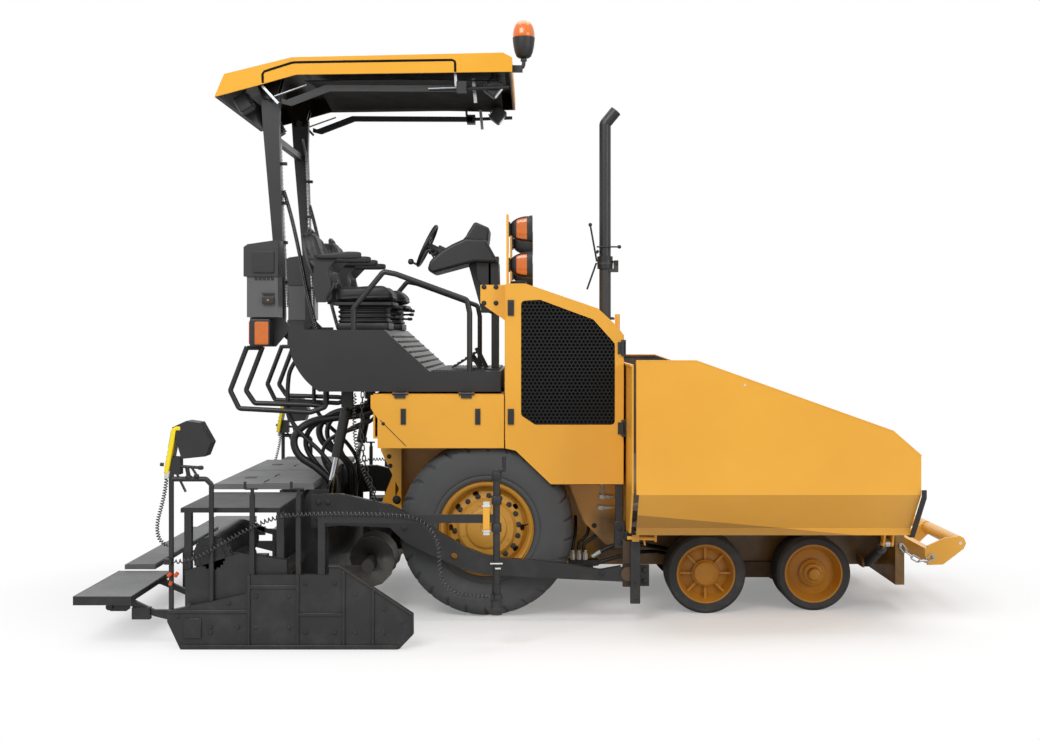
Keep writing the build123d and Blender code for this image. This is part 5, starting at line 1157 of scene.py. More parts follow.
ROOF_GAP = [
    (-1.756, 3.282), (-1.758, 3.335), (-1.748, 3.352), (-1.700, 3.368), (-1.582, 3.405), (-1.560, 3.409),
    (-1.200, 3.415), (-0.585, 3.424), (-0.570, 3.416), (-0.566, 3.400), (-0.566, 3.350)]
for side_name, side in SIDES:
    # Painted shade: a black strip along the gap between the roof's panels.
    rim = strip_part(ROOF_GAP, 0.0075, (side * 0.7255, side * 0.7268))
    add_piece(f"roof_gap_{side_name}", [rim], shade_black, "canopy_roof")
    inner = side * 0.640
    bars = [
        strip_part(
            [(-1.752, 3.345), (-1.768, 3.271), (-1.668, 3.163)], 0.008, (side * 0.690, side * 0.684)),
        strip_part([(-0.572, 3.405), (-0.562, 3.268)], 0.008, (side * 0.690, side * 0.684)),
        strip_part([(-0.462, 3.340), (-0.447, 3.187)], 0.010, (side * 0.560, side * 0.552)),
        rod_part((-0.74, inner, 3.262), (-0.56, inner, 3.268), 0.0055),
        rod_part((-1.70, inner, 3.215), (-1.50, inner, 3.286), 0.0055)]
    add_piece(f"roof_stays_{side_name}", bars, galvanised, "canopy_roof")
    rails = [
        prism_part([
            (-1.66, 3.205), (-1.63, 3.195), (-1.38, 3.290), (-0.52, 3.285), (-0.52, 3.250), (-1.36, 3.252),
            (-1.60, 3.160), (-1.66, 3.175)], "Y", (side * 0.620, side * 0.600)),
        rod_part((-0.50, side * 0.61, 3.268), (-0.235, side * 0.61, 3.278), 0.012),
        box_part((-0.56, -0.50), (side * 0.60, side * 0.69), (3.240, 3.300))]
    add_piece(f"roof_rail_{side_name}", rails, dark, "canopy_roof")

# Arched lining panels under the roof: Z rises from the edges to the middle as 0.045 (1 - (y / 0.6)^2)
along_x = np.linspace(-1.52, -0.30, 25)[:, None]
across_y = np.linspace(-0.60, 0.60, 25)[None, :]
crown = 3.318 + 0.045 * (1 - (across_y / 0.60) ** 2) + 0.010 * np.sin((along_x + 1.52) / 1.22 * pi)
liner = np.stack([along_x + 0 * across_y, across_y + 0 * along_x, crown], axis=-1)
liner_piece = new_object(
    "roof_liner", mesh_from("liner", liner, grid_faces(25, 25)), brown_under, "canopy_roof")
wall = liner_piece.modifiers.new("wall", "SOLIDIFY")
wall.thickness = 0.004
wall.offset = 0.0


def tilted_light(x, y, z, tilt):
    """A square work light turned down by its tilt: ribbed housing and lens."""
    centre = (x, y, z)
    housing, *faces = soft_box(
        (x - 0.040, x + 0.045), (y - 0.056, y + 0.056), (z - 0.052, z + 0.052), 0.16, 40)
    parts = [(turned_by(housing, centre, tilt), *faces)]
    for fin in range(5):
        fin_z = z - 0.036 + fin * 0.018
        points, quads = box_part(
            (x - 0.052, x - 0.036), (y - 0.045, y + 0.045), (fin_z - 0.003, fin_z + 0.003))
        parts.append((turned_by(points, centre, tilt), quads))
    glass, *glass_faces = soft_box(
        (x + 0.043, x + 0.050), (y - 0.046, y + 0.046), (z - 0.042, z + 0.042), 0.2, 40)
    return parts, (turned_by(glass, centre, tilt), *glass_faces)


light_parts, glass_parts = [], []
for x, z, stalk_top, tilt in ((-0.337, 3.285, 3.449, 38), (-1.907, 3.185, 3.337, 150)):
    for _, side in SIDES:
        parts, glass = tilted_light(x, side * 0.540, z, tilt)
        light_parts += parts + [rod_part((x, side * 0.540, z + 0.030), (x, side * 0.540, stalk_top), 0.011)]
        glass_parts.append(glass)
lights = add_piece("work_light_bodies", light_parts, plastic, "canopy_roof")
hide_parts("work_lights")
add_piece("work_light_lenses", glass_parts, clear_lens, "canopy_roof")

beacon_at = (-0.143, -0.605, 0.0)
cup_line = [(0.020, 3.460), (0.034, 3.461), (0.046, 3.470), (0.057, 3.497), (0.064, 3.530), (0.0690, 3.572),
            (0.0700, 3.586), (0.066, 3.588)]
dome_line = [
    (0.0660, 3.584), (0.0685, 3.590), (0.0680, 3.612), (0.0645, 3.638), (0.056, 3.662), (0.042, 3.682),
    (0.022, 3.692), (0.004, 3.6938)]
cup = copies(turned_template(cup_line, 64), [beacon_at], "+Z")
stalk = smooth_path([(-0.143, -0.605, 3.470), (-0.143, -0.605, 3.430), (-0.147, -0.605, 3.410),
                     (-0.160, -0.605, 3.400), (-0.210, -0.605, 3.398)], 24)
base = [
    cup[:2],
    capped_tube(stalk, 0.012, 14),
    box_part((-0.2136, -0.150), (-0.625, -0.585), (3.372, 3.412)),
    rod_part((-0.143, -0.605, 3.440), (-0.143, -0.605, 3.452), 0.020)]
add_piece("beacon_base", base, plastic, "canopy_roof")
dome = copies(turned_template(dome_line, 64), [beacon_at], "+Z")
beacon_dome = add_piece("beacon_dome", [dome], beacon_amber, "canopy_roof", 70)
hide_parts("beacon")


def lamp_surface(x_nose, x_face, z_middle, half_height, y_middle, half_width, t_span, a_span, grow=0.0,
                 steps=(24, 56)):
    """P(t, a): X from nose to face, the section's half sizes scaled by (1 - (1 - t)^2.4)^0.5."""
    t = np.linspace(*t_span, steps[0])[:, None]
    a = np.linspace(*a_span, steps[1])[None, :]
    swell = np.sqrt(np.maximum(1 - (1 - t) ** 2.4, 0.0))
    y = (half_width * swell + grow) * np.sign(np.cos(a)) * np.abs(np.cos(a)) ** 0.55
    z = (half_height * swell + grow) * np.sign(np.sin(a)) * np.abs(np.sin(a)) ** 0.55
    return np.stack([x_nose + (x_face - x_nose) * t + 0 * a, y_middle + y, z_middle + z], axis=-1)


for side_name, side in SIDES:
    shells, bezels, ambers, glasses = [], [], [], []
    for z_middle, half_height in ((2.382, 0.082), (2.160, 0.080)):
        shape = (-0.2355, -0.094, z_middle, half_height, side * 0.655, 0.062)
        grid = lamp_surface(*shape, (0.004, 1.0), (0, 2 * pi * 55 / 56))
        quads = grid_faces(24, 56, close_columns=True)
        caps = np.stack([np.arange(56), 23 * 56 + np.arange(56)[::-1]])
        shells.append((grid.reshape(-1, 3), quads, caps))
        outward = (-0.72, 0.72) if side > 0 else (pi - 0.72, pi + 0.72)
        lens = lamp_surface(*shape, (0.34, 0.80), outward, 0.0022, (16, 24))
        ambers.append((lens.reshape(-1, 3), grid_faces(16, 24)))
        rim = [
            lamp_surface(*shape, (1.0, 1.0), (0, 2 * pi * 55 / 56), grow, (1, 56))[0] + (step, 0, 0)
            for grow, step in (
                (0.0015, -0.012), (0.0035, -0.004), (0.0035, 0.005), (-0.004, 0.007), (-0.008, 0.002))]
        bezels.append((np.stack(rim).reshape(-1, 3), grid_faces(5, 56, close_columns=True)))
        face = lamp_surface(*shape, (1.0, 1.0), (0, 2 * pi * 55 / 56), -0.006, (1, 56))[0] + (0.003, 0, 0)
        glasses.append((face, (np.arange(56)[::-1])[None, :]))
    mounts = [box_part((-0.2355, -0.226), (side * 0.60, side * 0.70), (2.340, 2.424)),
              box_part((-0.2355, -0.226), (side * 0.60, side * 0.70), (2.118, 2.202))]
    head = add_piece(f"lamp_shells_{side_name}", shells + mounts, plastic, "tractor", 50)
    add_piece(f"lamp_bezels_{side_name}", bezels, dark_cast, "tractor")
    add_piece(f"lamp_glass_{side_name}", glasses, clear_lens, "tractor")
    add_piece(f"turn_lenses_{side_name}", ambers, amber, "tractor", 60)

    # Tail lamps: housing, amber side lens and red rear lens
    low_y, high_y = 0.6545, 0.7960
    housing = soft_box((-1.825, -1.700), (side * low_y, side * high_y), (1.652, 1.822), 0.1, 40)
    add_piece(f"tail_housing_{side_name}", [housing], plastic, "tractor")
    amber_plate = soft_box((-1.792, -1.708), (side * 0.790, side * 0.8005), (1.664, 1.804), 0.12, 32)
    add_piece(f"tail_amber_{side_name}", [amber_plate], amber, "tractor")
    red_plate = soft_box((-1.832, -1.818), (side * 0.668, side * 0.782), (1.666, 1.808), 0.12, 32)
    add_piece(f"tail_red_{side_name}", [red_plate], red_lens, "tractor")
    if side < 0:
        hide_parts("lamps")

    # Cabinet details: a raised connector box with its plugs and a warning device
    out = side * 0.8005
    raised = [soft_box((-1.802, -1.672), (out, out + side * 0.012), (2.104, 2.236), 0.12, 32)]
    for plug in range(5):
        plug_x = -1.785 + plug * 0.025
        raised.append(
            rod_part((plug_x, out - side * 0.014, 2.104), (plug_x, out - side * 0.014, 2.060), 0.009, 12))
    raised.append(soft_box((-1.745, -1.672), (side * 0.786, side * 0.812), (1.912, 1.958), 0.2, 32))
    raised.append(box_part((-1.745, -1.672), (side * 0.786, side * 0.806), (1.972, 1.980)))
    add_piece(f"cabinet_fittings_{side_name}", raised, plastic, "tractor")
    eye = soft_box((-1.715, -1.702), (side * 0.806, side * 0.8155), (1.930, 1.942), 0.5, 24)
    add_piece(f"cabinet_eye_{side_name}", [eye], amber, "tractor")

    # Conduit clipped to the mast's front, with clips and the folding lock at its foot
    mast_y = side * 0.500
    conduit = smooth_path([(-1.640, mast_y, 1.900), (-1.652, mast_y, 2.100), (-1.668, mast_y, 2.400),
                           (-1.680, mast_y, 2.700), (-1.690, mast_y, 2.960), (-1.715, mast_y, 3.110)], 220)
    wrap = 0.0085 + 0.0018 * np.sin(np.linspace(0, 2 * pi * 55, 220))
    add_piece(
        f"mast_conduit_{side_name}", [capped_tube(conduit, wrap, 12)], galvanised, "canopy_mast")
    clips = [box_part((-1.700, -1.640 - 0.002 * step), (side * 0.490, side * 0.524), (clip_z, clip_z + 0.018))
             for step, clip_z in enumerate((2.05, 2.30, 2.55, 2.80))]
    clips.append(rod_part((-1.739, side * 0.480, 3.219), (-1.739, side * 0.620, 3.219), 0.020, 24))
    clips.append(rod_part((-1.676, side * 0.470, 1.790), (-1.676, side * 0.628, 1.790), 0.022, 24))
    add_piece(f"mast_clips_{side_name}", clips, dark_cast, "canopy_mast")

# Exhaust: clamp band, fold hinge and two levers with ball ends
stack_x, stack_y = 0.380, -0.350
fold = [rod_part((stack_x, stack_y, 2.150), (stack_x, stack_y, 2.186), 0.050, 32),
        rod_part((stack_x, stack_y, 2.194), (stack_x, stack_y, 2.230), 0.050, 32),
        rod_part((0.4505, stack_y - 0.045, 2.190), (0.4505, stack_y + 0.045, 2.190), 0.012, 16)]
add_piece("exhaust_clamp", fold, dark_cast, "exhaust_stack")
levers = [rod_part((0.325, stack_y - 0.040, 2.196), (0.283, stack_y - 0.040, 2.430), 0.006, 10),
          rod_part((0.322, stack_y - 0.040, 2.186), (0.262, stack_y - 0.040, 2.016), 0.006, 10),
          rod_part((0.325, stack_y - 0.040, 2.290), (0.470, stack_y - 0.040, 2.290), 0.005, 10),
          rod_part((0.330, stack_y - 0.045, 2.260), (0.330, stack_y + 0.045, 2.260), 0.010, 12),
          soft_box((0.271, 0.295), (stack_y - 0.052, stack_y - 0.028), (2.420, 2.444), 0.8, 20),
          soft_box((0.458, 0.482), (stack_y - 0.052, stack_y - 0.028), (2.278, 2.302), 0.8, 20)]
add_piece("exhaust_levers", levers, hose_rubber, "exhaust_stack")

# fittings of the body
def link_part(centre, along, across, length=0.066, width=0.036, wire=0.0046, steps=40, sides=10):
    """A chain link: wire round a path with straight sides, in the plane of along and across."""
    along, across = unit(np.asarray(along, float)), unit(np.asarray(across, float))
    up_vector = np.cross(along, across)
    turn = np.linspace(0, 2 * pi, steps, endpoint=False)
    bend = width / 2 - wire
    straight = (length - width) / 2
    flat = np.stack([np.cos(turn) * bend + np.sign(np.cos(turn)) * straight, np.sin(turn) * bend], axis=-1)
    outward = np.stack([np.cos(turn), np.sin(turn)], axis=-1)
    path = np.asarray(centre, float) + flat[:, :1] * along + flat[:, 1:] * across
    normal = outward[:, :1] * along + outward[:, 1:] * across
    ring = np.linspace(0, 2 * pi, sides, endpoint=False)
    points = path[:, None] + wire * (
        np.cos(ring)[None, :, None] * normal[:, None] + np.sin(ring)[None, :, None] * up_vector)
    return points.reshape(-1, 3), grid_faces(steps, sides, close_rows=True, close_columns=True)


def chain_parts(points, link_length, **sizes):
    """Links along a hanging line, each turned a quarter from the last."""
    line = smooth_path(points, 400)
    run = np.concatenate([[0], np.cumsum(np.linalg.norm(np.diff(line, axis=0), axis=1))])
    count = int(run[-1] / (0.72 * link_length))
    middles = (np.arange(count) + 0.5) * run[-1] / count
    places = np.stack([np.interp(middles, run, line[:, k]) for k in range(3)], axis=-1)
    ahead = np.stack([np.interp(middles + 0.004, run, line[:, k]) for k in range(3)], axis=-1)
    parts = []
    for index in range(count):
        along = unit(ahead[index] - places[index]) if middles[index] + 0.004 < run[-1] else along
        flat = np.cross(along, (0, 1, 0))
        across = flat if index % 2 == 0 else np.cross(along, flat)
        parts.append(link_part(places[index], along, across, link_length, **sizes))
    return parts


for side_name, side in SIDES:
    facing = "+Y" if side > 0 else "-Y"
    gusset_bolts = copies(
        BOLT, [(x, side * 0.804, z) for x in (-0.385, -0.3115) for z in (2.0165, 1.918)], facing, 0.0115)
    bracket_bolts = copies(
        BOLT, [(-1.004, side * 0.455, 0.948), (-0.996, side * 0.455, 0.888)], facing, 0.011)
    big_bolt = merge([copies(BOLT, [(-0.955, side * 0.455, 0.672)], facing, 0.020),
                      copies(BOLT, [(0.3035, side * 0.500, 0.513)], facing, 0.012)])
    locker_pin = copies(BOLT, [(-0.994, side * 0.880, 1.183)], facing, 0.008)
    groups = [gusset_bolts, bracket_bolts, big_bolt]
    add_piece(f"body_bolts_{side_name}", groups, dark_cast, "tractor", 25)
    stay = rod_part((-1.014, side * 0.8806, 1.206), (-0.856, side * 0.8806, 1.048), 0.0022, 8)
    add_piece(
        f"locker_stay_{side_name}", [stay, locker_pin], dark_cast, f"locker_door_{side_name}",
        25)

    # Latch pulls on the doors
    pulls = [soft_box((-0.232, -0.206), (side * 0.8865, side * 0.8905), (z, z + 0.078), 0.25, 24)
             for z in (1.187, 1.848)]
    add_piece(f"door_pulls_{side_name}", pulls, dark_cast, f"engine_door_{side_name}")
    pulls = [soft_box((x + 0.005, x + 0.027), (side * 0.8865, side * 0.8900), (1.186, 1.267), 0.25, 24)
             for x in (-0.888, -0.436)]
    add_piece(f"locker_pulls_{side_name}", pulls, dark_cast, f"locker_door_{side_name}")

    # Front plate: guide post, clamp block, elbow fittings, and a manifold with connectors and hoses
    post = [box_part((0.417, 0.462), (side * 0.835, side * 0.870), (0.500, 0.835)),
            box_part((0.410, 0.474), (side * 0.830, side * 0.878), (0.425, 0.590)),
            box_part((0.4995, 0.5590), (side * 0.9590, side * 0.9860), (0.110, 0.573)),
            box_part((0.470, 0.575), (side * 0.860, side * 0.9000), (0.470, 0.530)),
            box_part((0.500, 0.620), (side * 0.878, side * 0.8985), (0.200, 0.330))]
    guide = add_piece(f"tow_guide_{side_name}", post, dark, "tractor")
    bevelled(guide, 0.004, 2)
    guide_bolts = copies(BOLT, [(0.442, side * 0.878, 0.545), (0.442, side * 0.878, 0.462)], facing, 0.012)
    plate_bolts = copies(BOLT, [(0.594, side * 0.8985, 0.300), (0.594, side * 0.8985, 0.232)], facing, 0.015)
    foot_bolts = copies(BOLT, [(0.529, side * 0.986, z) for z in (0.145, 0.240, 0.530)], facing, 0.008)
    add_piece(
        f"guide_bolts_{side_name}", [guide_bolts, plate_bolts, foot_bolts], dark_cast, "tractor",
        25)
    lock = [rod_part((0.480, side * 0.992, 0.506), (0.650, side * 0.992, 0.502), 0.0115, 16),
            rod_part((0.580, side * 0.992, 0.504), (0.586, side * 0.992, 0.462), 0.006, 10),
            box_part((0.510, 0.552), (side * 0.976, side * 1.004), (0.486, 0.524)),
            rod_part((0.650, side * 0.992, 0.522), (0.650, side * 0.992, 0.482), 0.008, 10)]
    add_piece(f"tow_lock_{side_name}", lock, yellow, "tractor")
    y = side * 0.512
    elbows = [
        rod_part((0.352, y, 0.770), (0.352, y, 0.705), 0.012, 6),
        rod_part((0.352, y, 0.820), (0.352, y, 0.765), 0.007, 12),
        soft_box((0.330, 0.376), (y - 0.017, y + 0.017), (0.682, 0.716), 0.5, 24),
        rod_part((0.372, y, 0.699), (0.402, y, 0.699), 0.013, 6),
        rod_part((0.400, y, 0.699), (0.428, y, 0.699), 0.007, 12),
        soft_box((0.322, 0.368), (y - 0.017, y + 0.017), (0.612, 0.646), 0.5, 24),
        rod_part((0.364, y, 0.629), (0.396, y, 0.629), 0.013, 6),
        rod_part((0.394, y, 0.629), (0.428, y, 0.629), 0.007, 12)]
    for x in (0.166, 0.206, 0.246):
        elbows.append(rod_part((x, side * 0.512, 0.296), (x, side * 0.512, 0.338), 0.0165, 6))
        elbows.append(rod_part((x, side * 0.512, 0.338), (x, side * 0.512, 0.360), 0.012, 16))
    elbows.append(rod_part((0.290, side * 0.512, 0.318), (0.345, side * 0.512, 0.352), 0.0125, 14))
    add_piece(f"pipe_fittings_{side_name}", elbows, pale_fitting, "tractor")
    blocks = [box_part((0.140, 0.330), (side * 0.455, side * 0.530), (0.262, 0.300)),
              box_part((0.180, 0.300), (side * 0.270, side * 0.460), (0.240, 0.262))]
    manifold = add_piece(f"manifold_{side_name}", blocks, dark_cast, "tractor")
    bevelled(manifold, 0.003, 2)
    pipes = []
    for x, lean, top in ((0.166, 0.02, 0.560), (0.204, 0.06, 0.600), (0.240, 0.10, 0.560)):
        path = smooth_path([
            (x, side * 0.512, 0.350), (x + 0.004, side * 0.506, 0.400), (x + lean, side * 0.470, 0.470),
            (x + lean * 1.1, side * 0.400, top)], 40)
        pipes.append(capped_tube(path, 0.0105, 12))
    path = smooth_path([
        (0.340, side * 0.512, 0.350), (0.440, side * 0.500, 0.390), (0.560, side * 0.470, 0.392),
        (0.680, side * 0.430, 0.372), (0.780, side * 0.330, 0.340)], 60)
    pipes.append(capped_tube(path, 0.0135, 12))
    path = smooth_path([
        (0.300, side * 0.480, 0.262), (0.420, side * 0.470, 0.300), (0.560, side * 0.440, 0.330),
        (0.700, side * 0.380, 0.330), (0.800, side * 0.325, 0.300)], 60)
    pipes.append(capped_tube(path, 0.0120, 12))
    add_piece(f"manifold_pipes_{side_name}", pipes, hose_rubber, "tractor")

    # Wing: rubber seal on the front edge with its yellow bar, hole mark and edge lip
    seal = [
        (1.384, 0.836), (1.384, 0.800), (1.163, 0.572), (1.140, 0.552), (0.980, 0.546), (0.980, 0.530),
        (1.146, 0.530), (1.176, 0.560), (1.400, 0.792), (1.400, 0.838)]
    flap = prism_part([(side * y, z) for y, z in seal], "X", (2.1345, 2.160))
    add_piece(f"wing_seal_{side_name}", [flap], hose_rubber, f"wing_{side_name}")
    mark = rod_part((1.127, side * 1.3795, 1.436), (1.127, side * 1.3815, 1.436), 0.0065, 20)
    add_piece(f"wing_mark_{side_name}", [mark], pale_fitting, f"wing_{side_name}")
    lip = [strip_part([(0.507, 1.5735), (0.850, 1.5735), (1.9745, 1.1715), (2.1350, 1.0310)], 0.0040,
                      (side * 1.3815, side * 1.352))]
    lip.append(box_part((0.5065, 0.5150), (side * 1.330, side * 1.3812), (0.836, 1.572)))
    add_piece(f"wing_lip_{side_name}", lip, yellow, f"wing_{side_name}")

    # Roller yoke: pale end hubs and the slack chain back to the bumper
    ends = [rod_part((2.564, side * 0.7095, 0.432), (2.564, side * 0.7125, 0.432), 0.010, 24)]
    add_piece(f"roller_ends_{side_name}", ends, pale_fitting, "push_yoke")
    chain = chain_parts([
        (2.196, side * 0.700, 0.420), (2.235, side * 0.714, 0.372), (2.300, side * 0.7225, 0.330),
        (2.350, side * 0.722, 0.330), (2.396, side * 0.716, 0.352)], 0.066)
    shackle = [rod_part((2.392, side * 0.700, 0.352), (2.392, side * 0.728, 0.352), 0.008, 14),
               rod_part((2.194, side * 0.690, 0.418), (2.194, side * 0.712, 0.418), 0.008, 14)]
    chain_piece = add_piece(f"yoke_chain_{side_name}", chain + shackle, galvanised, None)
    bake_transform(chain_piece)

# Hood top: raised air grille with louvres across it and a filler cap
slope = np.array([0.442, 0.0, -0.152])
slope_along = unit(slope)
slope_up = np.array([-slope_along[2], 0.0, slope_along[0]])
slope_from = np.array([-0.130, 0.0, 2.036])


def on_slope(along_span, y_span, up_span):
    """A block lying on the hood's sloping top."""
    corners = np.array([slope_from + slope_along * a + (0, y, 0) + slope_up * u
                        for a in along_span for y in y_span for u in up_span])
    return corners, BOX_FACES


louvres = [on_slope((0.035, 0.405), (-0.205, 0.640), (-0.002, 0.006))]
louvres += [
    on_slope((0.050 + 0.029 * k, 0.062 + 0.029 * k), (-0.190, 0.625), (0.004, 0.019))
    for k in range(12)]
add_piece("hood_grille", louvres, grille_black, "tractor")
cap_profile = [(0.052, 0.0), (0.052, 0.014), (0.046, 0.022), (0.020, 0.026), (0.004, 0.026)]
cap = copies(turned_template(cap_profile, 40), [(-0.175, -0.62, 2.036)], "+Z")
collar = turned_template([(0.062, 0.0), (0.062, 0.010), (0.056, 0.016), (0.041, 0.018)], 48)
collar = copies(collar, [(0.380, -0.350, 1.822)], "+Z")
add_piece("filler_cap", [cap, collar[:2]], dark_cast, "tractor")

# Platform: ribbed rubber mat and step treads
mat = [box_part((-0.712, -0.384), (-0.760, 0.760), (1.5000, 1.5040))]
mat += [
    box_part((-0.705 + 0.0215 * k, -0.695 + 0.0215 * k), (-0.750, 0.750), (1.5038, 1.5066))
    for k in range(15)]
add_piece("floor_mat", mat, hose_rubber, "tractor")
slope_tread = [((-0.745 - 0.035 * k, 1.523 + 0.0319 * k)) for k in range(7)]
treads = [box_part((x - 0.006, x + 0.010), (-0.74, 0.74), (z - 0.006, z + 0.004)) for x, z in slope_tread]
add_piece("step_treads", treads, dark_cast, "tractor")

# cords
def route_line(name, points):
    """The points of a smooth NURBS curve along a route."""
    curve = bpy.data.curves.new(name, "CURVE")
    curve.dimensions = "3D"
    curve.resolution_u = 24
    spline = curve.splines.new("NURBS")
    spline.points.add(len(points) - 1)
    for place, point in zip(spline.points, points):
        place.co = (*point, 1.0)
    spline.order_u = 3
    spline.use_endpoint_u = True
    holder = bpy.data.objects.new(name, curve)
    bpy.context.scene.collection.objects.link(holder)
    bpy.context.view_layer.update()
    mesh = bpy.data.meshes.new_from_object(holder)
    line = np.empty(len(mesh.vertices) * 3)
    mesh.vertices.foreach_get("co", line)
    bpy.data.objects.remove(holder)
    bpy.data.meshes.remove(mesh)
    return line.reshape(-1, 3)


def even_line(line, count):
    """A line's points spaced evenly along it, and its length."""
    run = np.concatenate([[0], np.cumsum(np.linalg.norm(np.diff(line, axis=0), axis=1))])
    at = np.linspace(0, run[-1], count)
    return np.stack([np.interp(at, run, line[:, k]) for k in range(3)], axis=-1), float(run[-1])


def curly_path(line, pitch, coil_radius, steps_per_turn=12, straight=0.03):
    """A helix round a line: P(s) = line(s) + r(s) (cos(2 pi s / pitch) N + sin(2 pi s / pitch) B).

    r(s) eases to 0 at both ends.
    """
    _, length = even_line(line, 10)
    count = int(length / pitch * steps_per_turn)
    middle, _ = even_line(line, count)
    tangent = unit(np.gradient(middle, axis=0))
    fixed = np.eye(3)[int(np.argmin(np.abs(tangent).max(axis=0)))]
    normal = unit(np.cross(tangent, fixed))
    binormal = np.cross(tangent, normal)
    at = np.linspace(0, length, count)
    ease = np.clip(np.minimum(at, length - at) / straight, 0, 1)
    turn = 2 * pi * at / pitch
    reach = coil_radius * ease * ease * (3 - 2 * ease)
    return middle + reach[:, None] * (np.cos(turn)[:, None] * normal + np.sin(turn)[:, None] * binormal)


SENSOR_ROUTE = (
    (-2.0597, 0.480), (-1.965, 0.480), (-1.840, 0.548), (-1.660, 0.650), (-1.480, 0.735), (-1.180, 0.742),
    (-0.900, 0.738), (-0.690, 0.716), (-0.592, 0.580), (-0.600, 0.420), (-0.535, 0.310), (-0.410, 0.288),
    (-0.3183, 0.288))
HAND_ROUTE = (
    (-2.092, 1.6900, 0.950), (-2.098, 1.6945, 0.880), (-2.118, 1.6950, 0.790), (-2.146, 1.6950, 0.690),
    (-2.140, 1.6950, 0.610), (-2.104, 1.6935, 0.572), (-2.076, 1.6900, 0.560))
CABLE_OUT = 1.7048
curly_wire, coil_radius, coil_pitch = 0.0072, 0.0105, 0.0225
for side_name, side in SIDES:
    body = f"extension_{side_name}"
    line = route_line("route", [(x, side * CABLE_OUT, z) for x, z in SENSOR_ROUTE])
    path = curly_path(line, coil_pitch, coil_radius)
    cable = add_piece(
        f"curly_cable_{side_name}", [capped_tube(path, curly_wire / 2, 8)], coil_rubber, body,
        60)
    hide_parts(f"sensor_cable_{side_name}")

    hand_line = route_line("route", [(x, side * y, z) for x, y, z in HAND_ROUTE])
    hand_path = curly_path(hand_line, 0.0150, 0.0090)
    hand_cable = add_piece(
        f"hand_cable_{side_name}", [capped_tube(hand_path, 0.0030, 8)], coil_rubber, body,
        60)

    # Controls: yellow panel, display housing with its screen, keys, knobs and plugs
    panel = [(-2.0635, 1.2115), (-2.0370, 1.2130), (-2.0815, 0.9620), (-2.1080, 0.9620)]
    panel_piece = add_piece(
        f"control_panel_{side_name}", [prism_part(panel[::-1], "Y", (side * 1.585, side * 1.7025))],
        safety_yellow, body)
    bevelled(panel_piece, 0.005, 2)
    top_hook = soft_box((-2.055, -2.012), (side * 1.585, side * 1.7025), (1.196, 1.222), 0.3, 32)
    add_piece(f"panel_hook_{side_name}", [top_hook], safety_yellow, body)
    housing_line = [(-2.052, 1.214), (-1.985, 1.2495), (-1.915, 1.2400), (-1.8505, 1.130), (-1.880, 1.0555),
                    (-2.008, 1.0425)]
    housing = add_piece(
        f"display_{side_name}", [prism_part(housing_line[::-1], "Y", (side * 1.5705, side * 1.6995))],
        plastic, body)
    bevelled(housing, 0.012, 3)
    slope_face = [(-2.0698, 1.1950), (-2.0640, 1.1950), (-2.0810, 1.1000), (-2.0868, 1.1000)]
    glass = prism_part(slope_face[::-1], "Y", (side * 1.600, side * 1.690))
    add_piece(f"display_screen_{side_name}", [glass], screen_glass, body)
    keys = []
    for row in range(4):
        for column in range(4):
            z = 1.075 - row * 0.027
            x = -2.0888 - (1.075 - z) * 0.178
            y = side * (1.606 + column * 0.024)
            key = soft_box((x - 0.0035, x + 0.004), (y - 0.0075, y + 0.0075), (z - 0.008, z + 0.008), 0.4, 16)
            keys.append(key)
    add_piece(f"panel_buttons_{side_name}", keys, plastic, body)
    knobs = [rod_part((-2.020, side * 1.680, 1.000), (-1.905, side * 1.680, 0.992), 0.0085, 12),
             soft_box((-1.925, -1.893), (side * 1.668, side * 1.692), (0.980, 1.004), 0.7, 20),
             rod_part((-1.960, side * 1.680, 0.996), (-1.930, side * 1.690, 0.955), 0.007, 12),
             soft_box((-1.944, -1.916), (side * 1.676, side * 1.702), (0.934, 0.958), 0.5, 20),
             rod_part((-1.985, side * 1.680, 1.000), (-1.975, side * 1.680, 0.945), 0.012, 12),
             soft_box((-1.993, -1.957), (side * 1.664, side * 1.696), (0.930, 0.950), 0.5, 20),
             rod_part((-2.110, side * 1.690, 1.010), (-2.128, side * 1.690, 1.012), 0.010, 12),
             rod_part((-2.040, side * 1.680, 0.960), (-1.990, side * 1.684, 0.860), 0.007, 12)]
    add_piece(f"control_knobs_{side_name}", knobs, hose_rubber, body)
    plug = [rod_part((-2.086, side * 1.690, 0.975), (-2.092, side * 1.690, 0.935), 0.012, 16),
            rod_part((-2.100, side * 1.672, 0.970), (-2.104, side * 1.672, 0.925), 0.009, 16)]
    add_piece(f"cable_plugs_{side_name}", plug, pale_fitting, body)
    caps = [rod_part((-2.064, side * 1.706, 0.418), (-2.082, side * 1.706, 0.400), 0.0105, 14),
            rod_part((-2.028, side * 1.706, 0.420), (-2.044, side * 1.706, 0.398), 0.0105, 14),
            rod_part((-2.064, side * 1.706, 0.372), (-2.070, side * 1.706, 0.352), 0.0095, 14)]
    add_piece(f"orange_plugs_{side_name}", caps, red_cap, body)

